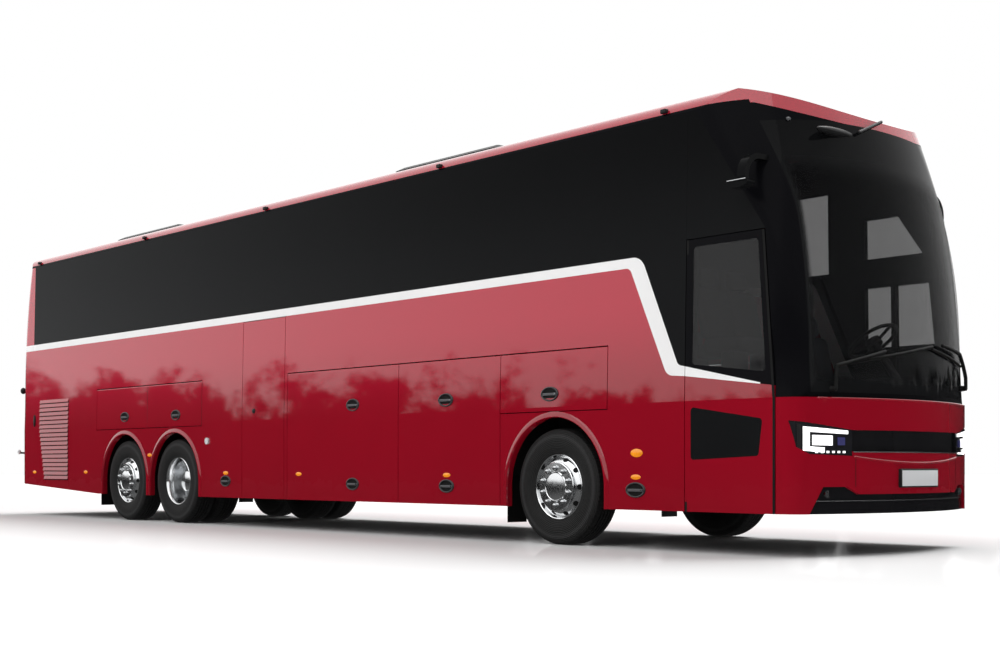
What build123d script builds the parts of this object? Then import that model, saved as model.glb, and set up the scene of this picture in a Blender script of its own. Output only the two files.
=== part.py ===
from build123d import *
from collections import namedtuple
from math import cos, radians, sqrt
import os

os.makedirs("parts", exist_ok=True)

# Three-axle high-deck touring coach, millimetres, +X forward, +Y to its left, ground at Z = 0.

# Overall envelope
FRONT_OVERHANG = 2889.0
WHEELBASE = 6764.0
BOGIE = 1300.0
REAR_OVERHANG = 3282.0
WIDTH = 2550.0
ROOF_Z = 3785.0
ROOF_EDGE_Z = 3735.0
SKIRT_Z = 335.0
SILL_Z = 1235.0
LOCKER_Z = 1190.0
FLAP_TOP_Z = 1745.0
STRIPE_LOW_Z = 2385.0
STRIPE_TOP_Z = 2470.0
DOOR_TOP_Z = 2555.0
CANTRAIL_Z = 3600.0
CANTRAIL_HALF = 1225.0
ROOF_CORNER_R = 190.0
ROOF_LAP = 5.0

# Plan and profile of the two ends
FRONT_R = 2710.0
TAIL_R = 250.0
CORNER_DEPTH = 455.0
DOOR_CORNER_BACK = 120.0
CANTRAIL_CORNER_BACK = 840.0
SCREEN_STEP = 25.0
SCREEN_R = 8500.0
TAIL_DEPTH = 470.0
TAIL_KNEE_Z = 2260.0
TAIL_LEAN_R = 5800.0
ROOF_NOSE_BACK = 1445.0
ROOF_NOSE_R = 2440.0
RAMP_BACK = 742.0
RAMP_RISE = 125.0

# Wall build-up and gaps
WALL = 60.0
GLASS = 10.0
SHUT = 4.0
SEAT = 0.3
HINGE_R = 12.0

# Wheels and axles
TYRE_R = 522.0
TYRE_W = 295.0
TYRE_OUT_Y = 1245.0
TWIN_PITCH = 340.0
BEAD_R = 286.0
FRONT_ARCH_R = 620.0
REAR_ARCH_R = 600.0
KINGPIN_Y = 850.0
KINGPIN_R = 28.0
SPINDLE_R = 50.0
HUB_END_Y = 1090.0

# Floors and frames
BELLY_Z = 340.0
BELLY_T = 50.0
DECK_Z = 1420.0
DECK_T = 60.0
BULKHEAD_T = 40.0
PLATFORM_Z = 950.0

# Lengths of the openings and of what stands between them
DOOR_W = 918.0
MID_DOOR_W = 882.0
MID_DOOR_AHEAD = 1564.0
LOCKER_AHEAD = 655.0
BAY_BEHIND = 721.0
REAR_LOCKER_BEHIND = 794.0
REAR_LOCKER_AHEAD = 660.0
BAY_POST = 59.0
FRONT_BAY_W = 1536.0
LEFT_BAY_AHEAD = 1504.0

# Stations along X, the origin half-way between nose and tail
LENGTH = FRONT_OVERHANG + WHEELBASE + BOGIE + REAR_OVERHANG
NOSE_X = LENGTH / 2
FRONT_AXLE_X = NOSE_X - FRONT_OVERHANG
DRIVE_AXLE_X = FRONT_AXLE_X - WHEELBASE
TAG_AXLE_X = DRIVE_AXLE_X - BOGIE
TAIL_X = TAG_AXLE_X - REAR_OVERHANG
FRONT_SPLIT_X = NOSE_X - CORNER_DEPTH
REAR_SPLIT_X = TAIL_X + TAIL_DEPTH
ROOF_NOSE_X = NOSE_X - ROOF_NOSE_BACK
RAMP_X = TAG_AXLE_X - RAMP_BACK
DOOR_REAR_X = FRONT_SPLIT_X - DOOR_W
DECK_FRONT_X = DOOR_REAR_X - 222.0
MID_DOOR_REAR_X = DRIVE_AXLE_X + MID_DOOR_AHEAD
MID_DOOR_FRONT_X = MID_DOOR_REAR_X + MID_DOOR_W
BAY_FRONT_X = FRONT_AXLE_X - BAY_BEHIND
SERVICE_X = FRONT_AXLE_X + LOCKER_AHEAD
REAR_LOCKER_X = TAG_AXLE_X - REAR_LOCKER_BEHIND
REAR_LOCKER_FRONT_X = DRIVE_AXLE_X + REAR_LOCKER_AHEAD
RIGHT_BAY_REAR_X = MID_DOOR_FRONT_X + BAY_POST
RIGHT_BAY_MID_X = BAY_FRONT_X - FRONT_BAY_W
LEFT_BAY_REAR_X = DRIVE_AXLE_X + LEFT_BAY_AHEAD
LEFT_BAY_MID_X = (LEFT_BAY_REAR_X + BAY_FRONT_X) / 2

HALF = WIDTH / 2
LEAN = (HALF - CANTRAIL_HALF) / (CANTRAIL_Z - SILL_Z)
HINGE_Z = FLAP_TOP_Z - HINGE_R - 2 * SHUT
RIGHT = -1
LEFT = 1


def half_width(z):
    """Half width of the body at a height."""
    return HALF - max(0.0, z - SILL_Z) * LEAN


def screen_x(z):
    """Centre line of the windscreen at a height."""
    return NOSE_X - SCREEN_STEP - (z - SILL_Z) ** 2 / (2 * SCREEN_R)


def tail_x(z):
    """Centre line of the rear wall at a height."""
    return TAIL_X + max(0.0, z - TAIL_KNEE_Z) ** 2 / (2 * TAIL_LEAN_R)


def ramp_z(x):
    """Lower edge of the skirt, which rises behind the last wheel."""
    return SKIRT_Z + max(0.0, RAMP_X - x) * RAMP_RISE / (RAMP_X - TAIL_X)


def corner_start(z):
    """Front edge of the side walls at a height, straight between three heights."""
    if z <= SILL_Z:
        return FRONT_SPLIT_X
    if z <= DOOR_TOP_Z:
        return FRONT_SPLIT_X - DOOR_CORNER_BACK * (z - SILL_Z) / (DOOR_TOP_Z - SILL_Z)
    share = (z - DOOR_TOP_Z) / (CANTRAIL_Z - DOOR_TOP_Z)
    return FRONT_SPLIT_X - DOOR_CORNER_BACK - (CANTRAIL_CORNER_BACK - DOOR_CORNER_BACK) * share


def plan_outline(nose, tail, half, start_x, inset):
    """Draw the plan of the body: bowed front, round corners, straight sides."""
    half_in = half - inset
    bow = FRONT_R - inset
    bow_x = nose - FRONT_R
    corner_r = (FRONT_R ** 2 - half ** 2 - (start_x - bow_x) ** 2) / (2 * (FRONT_R - half))
    corner = corner_r - inset
    corner_x = bow_x + sqrt((bow - corner) ** 2 - (half_in - corner) ** 2)
    reach = bow / (bow - corner)
    meet_x = bow_x + (corner_x - bow_x) * reach
    meet_y = (half_in - corner) * reach
    turn_x = meet_x - corner_x
    turn_y = meet_y - half_in + 2 * corner
    span = sqrt(turn_x ** 2 + turn_y ** 2)
    mid_x = corner_x + corner * turn_x / span
    mid_y = half_in - corner + corner * turn_y / span
    rear_r = TAIL_R - inset
    rear_x = tail + inset
    turn = rear_r * (1 - cos(radians(45)))
    ThreePointArc((meet_x, -meet_y), (nose - inset, 0), (meet_x, meet_y))
    ThreePointArc((meet_x, meet_y), (mid_x, mid_y), (corner_x, half_in))
    Line((corner_x, half_in), (rear_x + rear_r, half_in))
    ThreePointArc((rear_x + rear_r, half_in), (rear_x + turn, half_in - turn), (rear_x, half_in - rear_r))
    Line((rear_x, half_in - rear_r), (rear_x, rear_r - half_in))
    ThreePointArc((rear_x, rear_r - half_in), (rear_x + turn, turn - half_in), (rear_x + rear_r, -half_in))
    Line((rear_x + rear_r, -half_in), (corner_x, -half_in))
    ThreePointArc((corner_x, -half_in), (mid_x, -mid_y), (meet_x, -meet_y))


def lower_hull(inset, low, high):
    """Body below the windscreen, drawn in by an inset."""
    with BuildPart() as block:
        with BuildSketch(Plane.XY.offset(low)):
            with BuildLine():
                plan_outline(NOSE_X, TAIL_X, HALF, FRONT_SPLIT_X, inset)
            make_face()
        extrude(amount=high - low)
    return block.part


def roof_prism(inset):
    """Roof cross-section carried over the whole length."""
    with BuildPart() as prism:
        with BuildSketch(Plane.YZ.offset(TAIL_X - WALL)) as profile:
            foot = HALF + ROOF_LAP - inset
            side = half_width(ROOF_EDGE_Z) + ROOF_LAP - inset
            edge = ROOF_EDGE_Z - inset
            with BuildLine():
                Polyline((-side, edge), (-foot, SILL_Z), (-foot, 0), (foot, 0), (foot, SILL_Z), (side, edge))
                ThreePointArc((side, edge), (0, ROOF_Z - inset), (-side, edge))
            make_face()
            fillet(profile.vertices().group_by(Axis.Z)[-1], radius=ROOF_CORNER_R - inset)
        extrude(amount=LENGTH + 2 * WALL)
    return prism.part


def upper_hull(inset):
    """Body above the windscreen foot, drawn in by an inset."""
    levels = (
        SILL_Z,
        (SILL_Z + DOOR_TOP_Z) / 2,
        DOOR_TOP_Z,
        (DOOR_TOP_Z + CANTRAIL_Z) / 2,
        CANTRAIL_Z,
        ROOF_Z + WALL / 2,
    )
    with BuildPart() as block:
        for z in levels:
            with BuildSketch(Plane.XY.offset(z)):
                with BuildLine():
                    plan_outline(screen_x(z), tail_x(z), half_width(z), corner_start(z), inset)
                make_face()
        loft()
        add(roof_prism(inset), mode=Mode.INTERSECT)
        bow = ROOF_NOSE_R - inset
        with BuildSketch(Plane.XZ):
            with BuildLine():
                Line((TAIL_X - WALL, SILL_Z - WALL), (TAIL_X - WALL, ROOF_Z + WALL))
                Line((TAIL_X - WALL, ROOF_Z + WALL), (ROOF_NOSE_X, ROOF_Z + WALL))
                Line((ROOF_NOSE_X, ROOF_Z + WALL), (ROOF_NOSE_X, ROOF_Z - inset))
                RadiusArc(
                    (ROOF_NOSE_X, ROOF_Z - inset), (ROOF_NOSE_X + bow, ROOF_Z - ROOF_NOSE_R), bow
                )
                Line((ROOF_NOSE_X + bow, ROOF_Z - ROOF_NOSE_R), (ROOF_NOSE_X + bow, SILL_Z - WALL))
                Line((ROOF_NOSE_X + bow, SILL_Z - WALL), (TAIL_X - WALL, SILL_Z - WALL))
            make_face()
        extrude(amount=WIDTH, both=True, mode=Mode.INTERSECT)
    return block.part


def on_side(part, side):
    """Carry a piece made for the right-hand side over to a side."""
    return part if side == RIGHT else mirror(part, about=Plane.XZ)


def side_piece(points, outer=0.0, inner=WALL, side=RIGHT, arches=(), holes=(), rounds=()):
    """Piece of the side wall with an outline in X and Z, rounded corners, wheel arches and window holes."""
    top = CANTRAIL_Z + WALL
    with BuildPart() as piece:
        with BuildSketch(Plane.YZ.offset(TAIL_X)):
            with BuildLine():
                Polyline(
                    (outer - HALF, 0),
                    (outer - HALF, SILL_Z),
                    (outer - half_width(top), top),
                    (inner - half_width(top), top),
                    (inner - HALF, SILL_Z),
                    (inner - HALF, 0),
                    close=True,
                )
            make_face()
        extrude(amount=LENGTH)
        with BuildSketch(Plane.XZ) as outline:
            with BuildLine():
                Polyline(*points, close=True)
            make_face()
            for hole in holes:
                with BuildLine():
                    Polyline(*hole, close=True)
                make_face(mode=Mode.SUBTRACT)
            for (corner_x, corner_z), radius in rounds:
                nearest = outline.vertices().sort_by_distance((corner_x, corner_z, 0))[0]
                fillet(nearest, radius=radius)
            for arch_x, arch_r in arches:
                with Locations((arch_x, TYRE_R)):
                    Circle(arch_r, mode=Mode.SUBTRACT)
                with Locations((arch_x, TYRE_R - arch_r)):
                    Rectangle(2 * arch_r, 2 * arch_r, mode=Mode.SUBTRACT)
        extrude(amount=WIDTH, both=True, mode=Mode.INTERSECT)
    return on_side(piece.part, side)


def rect(x_rear, x_front, z_low, z_high):
    """Corner points of an upright rectangle in X and Z."""
    return ((x_rear, z_low), (x_front, z_low), (x_front, z_high), (x_rear, z_high))


def block_at(x_rear, x_front, y_right, y_left, z_low, z_high):
    """Plain rectangular block between three pairs of planes."""
    with BuildPart() as block:
        with BuildSketch(Plane.XY.offset(z_low)):
            with Locations(((x_rear + x_front) / 2, (y_right + y_left) / 2)):
                Rectangle(x_front - x_rear, y_left - y_right)
        extrude(amount=z_high - z_low)
    return block.part


def side_plate(points, y_right, y_left):
    """Plate with an outline in X and Z between two planes across the coach."""
    with BuildPart() as plate:
        with BuildSketch(Plane.XZ.offset(-y_left)):
            with BuildLine():
                Polyline(*points, close=True)
            make_face()
        extrude(amount=y_left - y_right)
    return plate.part


def front_prism(points):
    """Prism with an outline in Y and Z that covers the front end."""
    with BuildPart() as prism:
        with BuildSketch(Plane.YZ.offset(FRONT_SPLIT_X)):
            with BuildLine():
                Polyline(*points, close=True)
            make_face()
        extrude(amount=NOSE_X - FRONT_SPLIT_X + WALL)
    return prism.part


def rear_prism(y_right, y_left, z_low, z_high):
    """Prism with a rectangular outline in Y and Z that covers the rear end."""
    return block_at(TAIL_X - WALL, REAR_SPLIT_X, y_right, y_left, z_low, z_high)


def save(part, name):
    """Name a piece and write its file."""
    part.label = name
    export_step(part, "parts/" + name + ".step")


# Shells of the body ends
lower_outer = lower_hull(0.0, SKIRT_Z, SILL_Z)
lower_inner = lower_hull(WALL, SKIRT_Z - WALL, SILL_Z + WALL)
upper_outer = upper_hull(0.0)
upper_glass = upper_hull(GLASS)
upper_inner = upper_hull(WALL)

# Front end
GRILLE_HALF = 760.0
GRILLE_LOW_Z = 820.0
GRILLE_HIGH_Z = 985.0
LAMP_LOW_Z = 784.0
LAMP_KNEE = (1130.0, 797.0)
LAMP_TIP_LOW = (1218.0, 850.0)
LAMP_TIP_HIGH = (1252.0, 1055.0)
LAMP_BACK = 6.0
GRILLE_BACK = 25.0
LIP_FOOT_Y = 1130.0
LIP_HORN_OUT_Y = 1020.0
LIP_HORN_IN_Y = 810.0
LIP_STEP_Y = 700.0
LIP_Z = 487.0
LIP_HORN_Z = 545.0
SCREEN_HALF = 1100.0
SCREEN_LOW_Z = 1275.0
SCREEN_HIGH_Z = 3440.0

lip_points = (
    (-LIP_FOOT_Y - 30, SKIRT_Z - WALL),
    (-LIP_FOOT_Y, SKIRT_Z),
    (-LIP_HORN_OUT_Y, LIP_HORN_Z),
    (-LIP_HORN_IN_Y, LIP_HORN_Z),
    (-LIP_STEP_Y, LIP_Z),
    (LIP_STEP_Y, LIP_Z),
    (LIP_HORN_IN_Y, LIP_HORN_Z),
    (LIP_HORN_OUT_Y, LIP_HORN_Z),
    (LIP_FOOT_Y, SKIRT_Z),
    (LIP_FOOT_Y + 30, SKIRT_Z - WALL),
)
grille_points = (
    (-GRILLE_HALF, GRILLE_LOW_Z),
    (GRILLE_HALF, GRILLE_LOW_Z),
    (GRILLE_HALF, GRILLE_HIGH_Z),
    (-GRILLE_HALF, GRILLE_HIGH_Z),
)


def lamp_points(side):
    """Outline of a head lamp in Y and Z, drawn out to a tip round the corner."""
    lamp = ((GRILLE_HALF, LAMP_LOW_Z), LAMP_KNEE, LAMP_TIP_LOW, LAMP_TIP_HIGH, (GRILLE_HALF, GRILLE_HIGH_Z))
    return [(side * y, z) for y, z in lamp]


front_box = block_at(FRONT_SPLIT_X, NOSE_X + WALL, -HALF, HALF, 0, SILL_Z)

with BuildPart() as front_panel:
    add(lower_outer)
    add(lower_inner, mode=Mode.SUBTRACT)
    add(front_box, mode=Mode.INTERSECT)
    add(front_prism(grille_points), mode=Mode.SUBTRACT)
    for side in (RIGHT, LEFT):
        add(front_prism(lamp_points(side)), mode=Mode.SUBTRACT)
    add(front_prism(lip_points), mode=Mode.SUBTRACT)
save(front_panel.part, "front_panel")

with BuildPart() as front_trim:
    add(lower_hull(GRILLE_BACK, SKIRT_Z, SILL_Z))
    add(lower_inner, mode=Mode.SUBTRACT)
    with BuildSketch(Plane.YZ.offset(FRONT_SPLIT_X)):
        for outline in (grille_points, lip_points):
            with BuildLine():
                Polyline(*outline, close=True)
            make_face()
    extrude(amount=NOSE_X - FRONT_SPLIT_X, mode=Mode.INTERSECT)
save(front_trim.part, "front_trim")

with BuildPart() as head_lamps:
    add(lower_hull(LAMP_BACK, SKIRT_Z, SILL_Z))
    add(lower_inner, mode=Mode.SUBTRACT)
    with BuildSketch(Plane.YZ.offset(FRONT_SPLIT_X)):
        for side in (RIGHT, LEFT):
            with BuildLine():
                Polyline(*lamp_points(side), close=True)
            make_face()
    extrude(amount=NOSE_X - FRONT_SPLIT_X, mode=Mode.INTERSECT)
save(head_lamps.part, "head_lamps")

screen_region = side_plate(
    (
        (FRONT_SPLIT_X, SILL_Z),
        (corner_start(DOOR_TOP_Z), DOOR_TOP_Z),
        (corner_start(CANTRAIL_Z), CANTRAIL_Z),
        (NOSE_X, CANTRAIL_Z),
        (NOSE_X, SILL_Z),
    ),
    -HALF,
    HALF,
)
SCREEN_BACK_X = corner_start(CANTRAIL_Z)
screen_prism = block_at(SCREEN_BACK_X, NOSE_X, -SCREEN_HALF, SCREEN_HALF, SCREEN_LOW_Z, SCREEN_HIGH_Z)

with BuildPart() as windscreen_frame:
    add(upper_outer)
    add(upper_inner, mode=Mode.SUBTRACT)
    add(screen_region, mode=Mode.INTERSECT)
    add(screen_prism, mode=Mode.SUBTRACT)
save(windscreen_frame.part, "windscreen_frame")

with BuildPart() as windscreen:
    add(upper_outer)
    add(upper_glass, mode=Mode.SUBTRACT)
    add(screen_prism, mode=Mode.INTERSECT)
save(windscreen.part, "windscreen")

# Roof
with BuildPart() as roof:
    add(upper_outer)
    add(upper_inner, mode=Mode.SUBTRACT)
    add(block_at(TAIL_X, NOSE_X, -HALF, HALF, CANTRAIL_Z, ROOF_Z + WALL), mode=Mode.INTERSECT)
save(roof.part, "roof")

RoofUnit = namedtuple("RoofUnit", "rear_x front_x half_y top_z")
ROOF_UNITS = (
    RoofUnit(FRONT_AXLE_X - 2856.0, FRONT_AXLE_X - 1176.0, 900.0, ROOF_Z + 77.0),
    RoofUnit(TAG_AXLE_X - 992.0, TAG_AXLE_X + 678.0, 900.0, ROOF_Z + 77.0),
)
UNIT_ROUND = 45.0
with BuildPart() as roof_units:
    for unit in ROOF_UNITS:
        with BuildSketch(Plane.XY.offset(CANTRAIL_Z)):
            with Locations(((unit.rear_x + unit.front_x) / 2, 0)):
                RectangleRounded(unit.front_x - unit.rear_x, 2 * unit.half_y, 120)
        extrude(amount=unit.top_z - CANTRAIL_Z)
    chamfer(roof_units.faces().group_by(Axis.Z)[-1].edges(), length=UNIT_ROUND, length2=2 * UNIT_ROUND)
    add(roof_prism(-SEAT), mode=Mode.SUBTRACT)
save(roof_units.part, "roof_units")

# Rear end
LID_HALF = 850.0
LID_LOW_Z = 560.0
REAR_GLASS_HALF = 1000.0
REAR_GLASS_LOW_Z = 2560.0
REAR_GLASS_HIGH_Z = 3330.0
TAIL_LAMP_IN_Y = 1030.0
TAIL_LAMP_OUT_Y = 1200.0
TAIL_LAMP_LOW_Z = 900.0
TAIL_LAMP_HIGH_Z = 1560.0
TAIL_LAMP_DEPTH = 45.0

rear_glass_box = rear_prism(-REAR_GLASS_HALF, REAR_GLASS_HALF, REAR_GLASS_LOW_Z, REAR_GLASS_HIGH_Z)
with BuildPart() as rear_panel:
    add(lower_outer)
    add(upper_outer)
    add(lower_inner, mode=Mode.SUBTRACT)
    add(upper_inner, mode=Mode.SUBTRACT)
    add(block_at(TAIL_X, REAR_SPLIT_X, -HALF, HALF, SKIRT_Z, CANTRAIL_Z), mode=Mode.INTERSECT)
    with BuildSketch(Plane.XZ):
        with BuildLine():
            Polyline(
                (TAIL_X, ramp_z(TAIL_X)),
                (REAR_SPLIT_X, ramp_z(REAR_SPLIT_X)),
                (REAR_SPLIT_X, 0),
                (TAIL_X, 0),
                close=True,
            )
        make_face()
    extrude(amount=WIDTH, both=True, mode=Mode.SUBTRACT)
    add(rear_prism(-LID_HALF, LID_HALF, LID_LOW_Z, FLAP_TOP_Z), mode=Mode.SUBTRACT)
    add(rear_glass_box, mode=Mode.SUBTRACT)
    for side in (RIGHT, LEFT):
        near = min(side * TAIL_LAMP_IN_Y, side * TAIL_LAMP_OUT_Y)
        far = max(side * TAIL_LAMP_IN_Y, side * TAIL_LAMP_OUT_Y)
        add(rear_prism(near, far, TAIL_LAMP_LOW_Z, TAIL_LAMP_HIGH_Z), mode=Mode.SUBTRACT)
save(rear_panel.part, "rear_panel")

with BuildPart() as rear_glass:
    add(upper_outer)
    add(upper_glass, mode=Mode.SUBTRACT)
    add(rear_glass_box, mode=Mode.INTERSECT)
save(rear_glass.part, "rear_glass")

with BuildPart() as tail_lamps:
    add(lower_hull(0.0, SKIRT_Z, FLAP_TOP_Z))
    add(lower_hull(TAIL_LAMP_DEPTH, SKIRT_Z - WALL, FLAP_TOP_Z + WALL), mode=Mode.SUBTRACT)
    with BuildSketch(Plane.YZ.offset(REAR_SPLIT_X)):
        for side in (RIGHT, LEFT):
            with Locations(
                (side * (TAIL_LAMP_IN_Y + TAIL_LAMP_OUT_Y) / 2, (TAIL_LAMP_LOW_Z + TAIL_LAMP_HIGH_Z) / 2)
            ):
                Rectangle(TAIL_LAMP_OUT_Y - TAIL_LAMP_IN_Y, TAIL_LAMP_HIGH_Z - TAIL_LAMP_LOW_Z)
    extrude(amount=TAIL_X - REAR_SPLIT_X, mode=Mode.INTERSECT)
save(tail_lamps.part, "tail_lamps")

with BuildPart() as engine_lid:
    with BuildSketch(Plane.XZ.offset(SHUT - LID_HALF)):
        with BuildLine():
            Polyline(*rect(TAIL_X, TAIL_X + WALL, LID_LOW_Z + SHUT, HINGE_Z), close=True)
        make_face()
        with Locations((TAIL_X + HINGE_R, HINGE_Z)):
            Circle(HINGE_R)
    extrude(amount=2 * (LID_HALF - SHUT))
save(engine_lid.part, "engine_lid")

# Side walls, from the skirt up
STRIPE_RUN = 492.0
STRIPE_FRONT_X = DOOR_REAR_X - 712.0
stripe_in = (
    (DOOR_REAR_X - 622.0, STRIPE_LOW_Z),
    (DOOR_REAR_X - 622.0 + 430.0 * (STRIPE_LOW_Z - FLAP_TOP_Z) / 930.0, FLAP_TOP_Z),
    (DOOR_REAR_X - 192.0, STRIPE_LOW_Z - 930.0),
    (DOOR_REAR_X, STRIPE_LOW_Z - 945.0),
)
stripe_out = (
    (DOOR_REAR_X - STRIPE_RUN, STRIPE_TOP_Z),
    (DOOR_REAR_X - 72.0, STRIPE_TOP_Z - 935.0),
    (DOOR_REAR_X, STRIPE_TOP_Z - 950.0),
)
stripe_tail = ((FRONT_SPLIT_X - 150.0, 1345.0), (FRONT_SPLIT_X - 150.0, 1420.0))
inner_top_round = (stripe_in[0], 70.0)
inner_foot_round = (stripe_in[2], 100.0)
outer_top_round = (stripe_out[0], 150.0)
outer_foot_round = (stripe_out[1], 60.0)
DASH_SIDE_Z = 1300.0

front_arch = ((FRONT_AXLE_X, FRONT_ARCH_R),)
rear_arches = ((DRIVE_AXLE_X, REAR_ARCH_R), (TAG_AXLE_X, REAR_ARCH_R))

skirt_front_right_points = (
    (BAY_FRONT_X + SHUT, SKIRT_Z),
    (DOOR_REAR_X, SKIRT_Z),
    stripe_in[3],
    stripe_in[2],
    stripe_in[1],
    (SERVICE_X, FLAP_TOP_Z),
    (SERVICE_X, LOCKER_Z),
    (BAY_FRONT_X + SHUT, LOCKER_Z),
)
skirt_front_left_points = (
    (BAY_FRONT_X + SHUT, SKIRT_Z),
    (FRONT_SPLIT_X, SKIRT_Z),
    (FRONT_SPLIT_X, SILL_Z),
    (corner_start(DASH_SIDE_Z), DASH_SIDE_Z),
    stripe_tail[0],
    stripe_in[3],
    stripe_in[2],
    stripe_in[1],
    (SERVICE_X, FLAP_TOP_Z),
    (SERVICE_X, LOCKER_Z),
    (BAY_FRONT_X + SHUT, LOCKER_Z),
)
with BuildPart() as skirt_front:
    add(side_piece(skirt_front_right_points, arches=front_arch, rounds=(inner_foot_round,)))
    add(side_piece(skirt_front_left_points, side=LEFT, arches=front_arch, rounds=(inner_foot_round,)))
save(skirt_front.part, "skirt_front")


def skirt_rear_points(front_x):
    """Outline of the rear quarter up to its front edge, around the rear lockers."""
    return (
        (REAR_SPLIT_X, ramp_z(REAR_SPLIT_X)),
        (RAMP_X, SKIRT_Z),
        (front_x, SKIRT_Z),
        (front_x, FLAP_TOP_Z),
        (REAR_LOCKER_FRONT_X, FLAP_TOP_Z),
        (REAR_LOCKER_FRONT_X, LOCKER_Z),
        (REAR_LOCKER_X, LOCKER_Z),
        (REAR_LOCKER_X, FLAP_TOP_Z),
        (REAR_SPLIT_X, FLAP_TOP_Z),
    )


with BuildPart() as skirt_rear:
    add(side_piece(skirt_rear_points(MID_DOOR_REAR_X), arches=rear_arches))
    add(side_piece(rect(MID_DOOR_FRONT_X, RIGHT_BAY_REAR_X - SHUT, SKIRT_Z, FLAP_TOP_Z)))
    add(side_piece(skirt_rear_points(LEFT_BAY_REAR_X), side=LEFT, arches=rear_arches))
save(skirt_rear.part, "skirt_rear")

with BuildPart() as side_rails:
    add(side_piece(rect(REAR_SPLIT_X, MID_DOOR_REAR_X, FLAP_TOP_Z, STRIPE_LOW_Z)))
    add(
        side_piece(
            ((MID_DOOR_FRONT_X, FLAP_TOP_Z), stripe_in[1], stripe_in[0], (MID_DOOR_FRONT_X, STRIPE_LOW_Z)),
            rounds=(inner_top_round,),
        )
    )
    add(
        side_piece(
            ((REAR_SPLIT_X, FLAP_TOP_Z), stripe_in[1], stripe_in[0], (REAR_SPLIT_X, STRIPE_LOW_Z)),
            side=LEFT,
            rounds=(inner_top_round,),
        )
    )
save(side_rails.part, "side_rails")

sweep_points = (
    (STRIPE_FRONT_X + 1, STRIPE_LOW_Z),
    stripe_in[0],
    stripe_in[2],
    stripe_in[3],
    stripe_out[2],
    stripe_out[1],
    stripe_out[0],
    (STRIPE_FRONT_X + 1, STRIPE_TOP_Z),
)
left_sweep_points = sweep_points[:4] + stripe_tail + sweep_points[4:]
with BuildPart() as waist_rails:
    for side, sweep_outline in ((RIGHT, sweep_points), (LEFT, left_sweep_points)):
        add(side_piece(rect(REAR_SPLIT_X, STRIPE_FRONT_X, STRIPE_LOW_Z, STRIPE_TOP_Z), side=side))
        add(
            side_piece(
                sweep_outline,
                side=side,
                rounds=(inner_top_round, inner_foot_round, outer_top_round, outer_foot_round),
            )
        )
save(waist_rails.part, "waist_rails")

# Window band, one frame a side with its panes let in flush
PANE_COUNT = 7
POST = 90.0
PANE_REAR_X = REAR_SPLIT_X + 60.0
PANE_LOW_Z = STRIPE_TOP_Z + 40.0
PANE_HIGH_Z = CANTRAIL_Z - 60.0
PANE_FRONT_X = DOOR_REAR_X - 722.0
PANE_PITCH = (PANE_FRONT_X - PANE_REAR_X) / PANE_COUNT

pane_outlines = []
for bay in range(PANE_COUNT):
    pane_rear = PANE_REAR_X + bay * PANE_PITCH
    pane_outlines.append(rect(pane_rear, pane_rear + PANE_PITCH - POST, PANE_LOW_Z, PANE_HIGH_Z))
right_pane = (
    (PANE_FRONT_X, PANE_LOW_Z),
    (DOOR_REAR_X - STRIPE_RUN + 60, PANE_LOW_Z),
    (DOOR_REAR_X - 32, 1600.0),
    (DOOR_REAR_X - 20, 1600.0),
    (DOOR_REAR_X - 20, PANE_HIGH_Z),
    (PANE_FRONT_X, PANE_HIGH_Z),
)
CAB_PANE_Z = 2980.0
PILLAR = 75.0
header_pane = (
    (DOOR_REAR_X + PILLAR, DOOR_TOP_Z + WALL),
    (corner_start(DOOR_TOP_Z + WALL) - PILLAR, DOOR_TOP_Z + WALL),
    (corner_start(CAB_PANE_Z) - PILLAR, CAB_PANE_Z),
    (DOOR_REAR_X + PILLAR, CAB_PANE_Z),
)
QUARTER_X = DOOR_REAR_X + 398.0
QUARTER_TOP_Z = 2350.0
quarter_pane = rect(DOOR_REAR_X + PILLAR, QUARTER_X - POST / 2, 1580.0, QUARTER_TOP_Z)
driver_pane = (
    (QUARTER_X, 1560.0),
    (corner_start(1490.0) - PILLAR, 1490.0),
    (corner_start(QUARTER_TOP_Z) - PILLAR, QUARTER_TOP_Z),
    (QUARTER_X, QUARTER_TOP_Z),
)
right_frame = (
    (REAR_SPLIT_X, STRIPE_TOP_Z),
    stripe_out[0],
    stripe_out[1],
    stripe_out[2],
    (DOOR_REAR_X, CANTRAIL_Z),
    (REAR_SPLIT_X, CANTRAIL_Z),
)
left_frame = (
    (REAR_SPLIT_X, STRIPE_TOP_Z),
    stripe_out[0],
    stripe_out[1],
    stripe_out[2],
    stripe_tail[1],
    stripe_tail[0],
    (corner_start(DASH_SIDE_Z), DASH_SIDE_Z),
    (corner_start(DOOR_TOP_Z), DOOR_TOP_Z),
    (corner_start(CANTRAIL_Z), CANTRAIL_Z),
    (REAR_SPLIT_X, CANTRAIL_Z),
)
header_frame = (
    (DOOR_REAR_X + 1, DOOR_TOP_Z),
    (corner_start(DOOR_TOP_Z), DOOR_TOP_Z),
    (corner_start(CANTRAIL_Z), CANTRAIL_Z),
    (DOOR_REAR_X + 1, CANTRAIL_Z),
)
right_panes = pane_outlines + [right_pane]
left_panes = pane_outlines + [right_pane, quarter_pane, driver_pane, header_pane]

with BuildPart() as window_frames:
    add(side_piece(right_frame, holes=right_panes, rounds=(outer_top_round, outer_foot_round)))
    add(side_piece(header_frame, holes=[header_pane]))
    add(side_piece(left_frame, side=LEFT, holes=left_panes, rounds=(outer_top_round, outer_foot_round)))
save(window_frames.part, "window_frames")

with BuildPart() as side_glass:
    for pane in right_panes + [header_pane]:
        add(side_piece(pane, inner=GLASS))
    for pane in left_panes:
        add(side_piece(pane, inner=GLASS, side=LEFT))
save(side_glass.part, "side_glass")

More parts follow.
